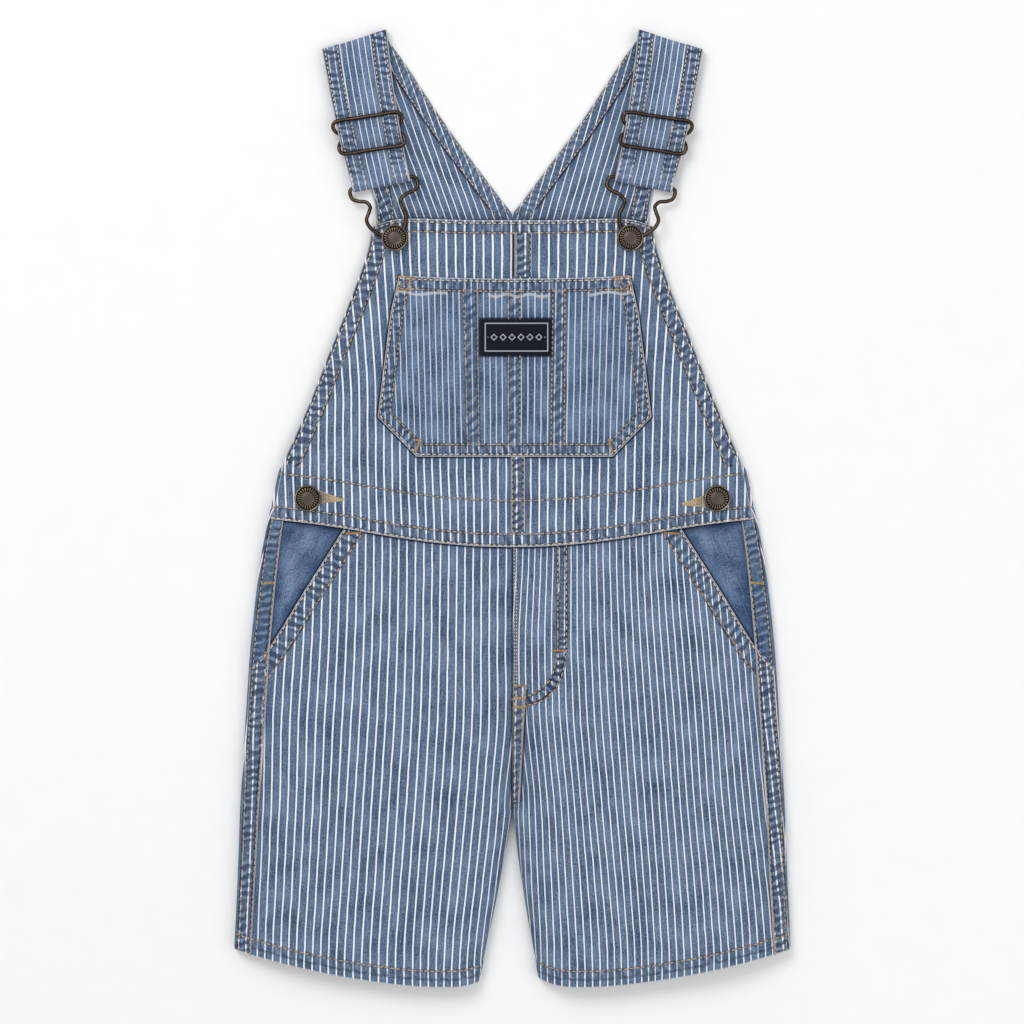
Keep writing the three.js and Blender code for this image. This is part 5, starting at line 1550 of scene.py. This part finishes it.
# %% [markdown]
# ## Jeans buttons
# A stamped cap with a raised rim and a dished face, on a shank through the cloth, with a tack behind.
# The profile is turned about its axis. Fine ridges round the dish are cut by moving the turned points
# themselves, so the cap stays one closed surface.

# %% Buttons
RIDGES, RIDGE_DEPTH = 24, 0.4


def turned_button(name, x, y, tack_top, cap_foot):
    """(radius, height, how worn) up the profile, from the tack behind the cloth to the middle of the cap."""
    top, radius = cap_foot + 2.4, 7.7
    profile = [
        (0, tack_top - 1.0, 0.4), (3.6, tack_top - 1.0, 0.4), (4.5, tack_top - 0.6, 0.6),
        (4.5, tack_top - 0.2, 0.3), (4.2, tack_top, 0), (2.0, tack_top, 0), (2.0, cap_foot, 0),
        (radius - 0.9, cap_foot, 0),
        (radius - 0.25, cap_foot + 0.25, 0.1), (radius, cap_foot + 0.9, 0.2), (radius, top - 0.8, 0.3),
        (radius - 0.2, top - 0.25, 0.8), (radius - 0.5, top, 1), (radius - 0.85, top - 0.15, 0.8),
        (radius - 1.05, top - 0.85, 0), (radius - 1.5, top - 0.9, 0), (6.1, top - 0.4, 0.9),
        (5.0, top - 0.25, 0.95), (3.9, top - 0.25, 0.75), (3.6, top - 0.4, 0.5), (2.0, top - 0.25, 0.6),
        (0, top - 0.2, 0.6),
    ]  # fmt: skip
    sides = 120
    angle = np.linspace(0, 2 * np.pi, sides, endpoint=False)
    points, rub, index = [], [], []
    for r, z, worn in profile:
        if r == 0:
            index.append([len(points)] * sides)
            points.append((x, y, z))
            rub.append(worn)
            continue
        cut = (np.cos(RIDGES * angle) < -0.2) if 3.7 < r < 6.15 and z > cap_foot + 1 else 0 * angle
        index.append([len(points) + k for k in range(sides)])
        ring = zip(x + r * np.cos(angle), y + r * np.sin(angle), z - RIDGE_DEPTH * cut)
        points += [tuple(float(k) for k in point) for point in ring]
        rub += [worn * (1 - c) for c in cut]
    faces = []
    for low, high_ring in zip(index[:-1], index[1:]):
        for j in range(sides):
            k = (j + 1) % sides
            faces.append(tuple(dict.fromkeys([low[j], low[k], high_ring[k], high_ring[j]])))
    return with_wear_and_highlight(new_object(name, points, faces, cap_brass), np.array(rub, float))


for side, word in SIDES:
    q, y = (float(k) for k in strap_place(HOOK_IN, BUTTON_S))
    at_bib = float(bib_height(side, np.array(q), np.array(y)))
    at_side = float(bib_height(side, np.array(118.6), np.array(5.3)))
    metal[f"bib_button_{word}"] = turned_button(
        f"bib_button_{word}_cap", side * q, y, at_bib - WALL - 1.1, HOOK_LOW_Z + WIRE + GAP
    )
    metal[f"side_button_{word}"] = turned_button(
        f"side_button_{word}_cap", side * 118.6, 5.3, at_side - LAYER - WALL - 1.5, at_side + 1.4
    )
print("buttons:", sum("button" in k for k in metal))

# %% [markdown]
# ## Handing the pieces to the frame
# Each shell stands for its solid, and all of it rides on the one body. The width, length and area of each
# cloth's cut are worked out, and go no further.

# %% Riding and replacing
STANDS_FOR = {
    "leg_front_left_denim": "leg_front_left", "leg_front_right_denim": "leg_front_right",
    "leg_back_left_denim": "leg_back_left", "leg_back_right_denim": "leg_back_right",
    "bib_left_denim": "bib_left", "bib_right_denim": "bib_right", "bib_pocket_denim": "bib_pocket",
    "bib_label_weave": "bib_label", "hip_facing_left_denim": "hip_facing_left",
    "hip_facing_right_denim": "hip_facing_right", "outseam_left_denim": "outseam_left",
    "outseam_right_denim": "outseam_right", "bib_fell_upper_denim": "bib_fell_upper",
    "bib_fell_lower_denim": "bib_fell_lower", "rise_fell_denim": "rise_fell",
    "back_left_denim": "back_left", "back_right_denim": "back_right",
    "side_tab_left_denim": "side_tab_left", "side_tab_right_denim": "side_tab_right",
    "strap_left_denim": "strap_left", "strap_right_denim": "strap_right",
}  # fmt: skip
for name, obj in panels.items():
    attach(obj, "root")
    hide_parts(STANDS_FOR[name])
for node, obj in metal.items():
    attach(obj, "root")
    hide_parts(node)
for obj in stitches:
    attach(obj, "root")
for obj, width, length, area in sheets:
    width, length, area = width * MM, length * MM, area * MM * MM
    area = min(max(area, 0.31 * width * length), width * length)
print("sheets:", len(sheets), "metal pieces:", len(metal), "stitch pieces:", len(stitches))

# %% [markdown]
# ## Floor, light and camera
# The garment lies on a plain pale floor under a large soft light, a little stronger from the upper
# left, and the camera looks straight down on it.

# %% Floor and light
def matt_floor():
    material, shader, node, link = new_material("matt_white_board", 0.9)
    grain = node(NOISE, None, Vector=node("ShaderNodeTexCoord", out="Object"), Scale=60.0, Detail=3.0)
    white = node(MIXER, COLOUR, grain, i6=linear("#f6f6f6"), i7=linear("#fafafa"), out=2)
    link(white, shader.inputs["Base Color"])
    return material


bpy.ops.mesh.primitive_plane_add(size=6, location=(0, 0, 0))
floor = bpy.context.object
floor.name = "floor"
floor.data.materials.append(matt_floor())


def soft_light(name, place, aim, size, power):
    light = bpy.data.lights.new(name, "AREA")
    light.shape, light.size, light.energy = "DISK", size, power
    obj = bpy.data.objects.new(name, light)
    obj.location = place
    obj.rotation_euler = (Vector(aim) - Vector(place)).to_track_quat("-Z", "Y").to_euler()
    bpy.context.scene.collection.objects.link(obj)
    return obj


soft_light("key_light", (-0.9, 1.2, 1.9), (0, 0, 0), 1.3, 21)
soft_light("fill_light", (1.3, -0.6, 1.8), (0, 0, 0), 1.8, 12)
world = bpy.data.worlds.new("studio")
world.use_nodes = True
world.node_tree.nodes["Background"].inputs["Color"].default_value = (1, 1, 1, 1)
world.node_tree.nodes["Background"].inputs["Strength"].default_value = 0.62
bpy.context.scene.world = world
print("view transform was", bpy.context.scene.view_settings.view_transform)
bpy.context.scene.view_settings.view_transform = "Standard"  # colours as a camera on white would show them

# %% Camera straight above
FRAME_WIDTH, CAMERA_HEIGHT, SUBJECT_Z = 0.594, 2.4, 0.010
camera_data = bpy.data.cameras.new("camera")
camera_data.sensor_width = 36
camera_data.lens = 36 * (CAMERA_HEIGHT - SUBJECT_Z) / FRAME_WIDTH
camera_data.clip_end = 20
camera = bpy.data.objects.new("camera", camera_data)
camera.location = (-0.0003, -0.0026, CAMERA_HEIGHT)
camera.rotation_euler = (0, 0, 0)
bpy.context.scene.collection.objects.link(camera)
bpy.context.scene.camera = camera
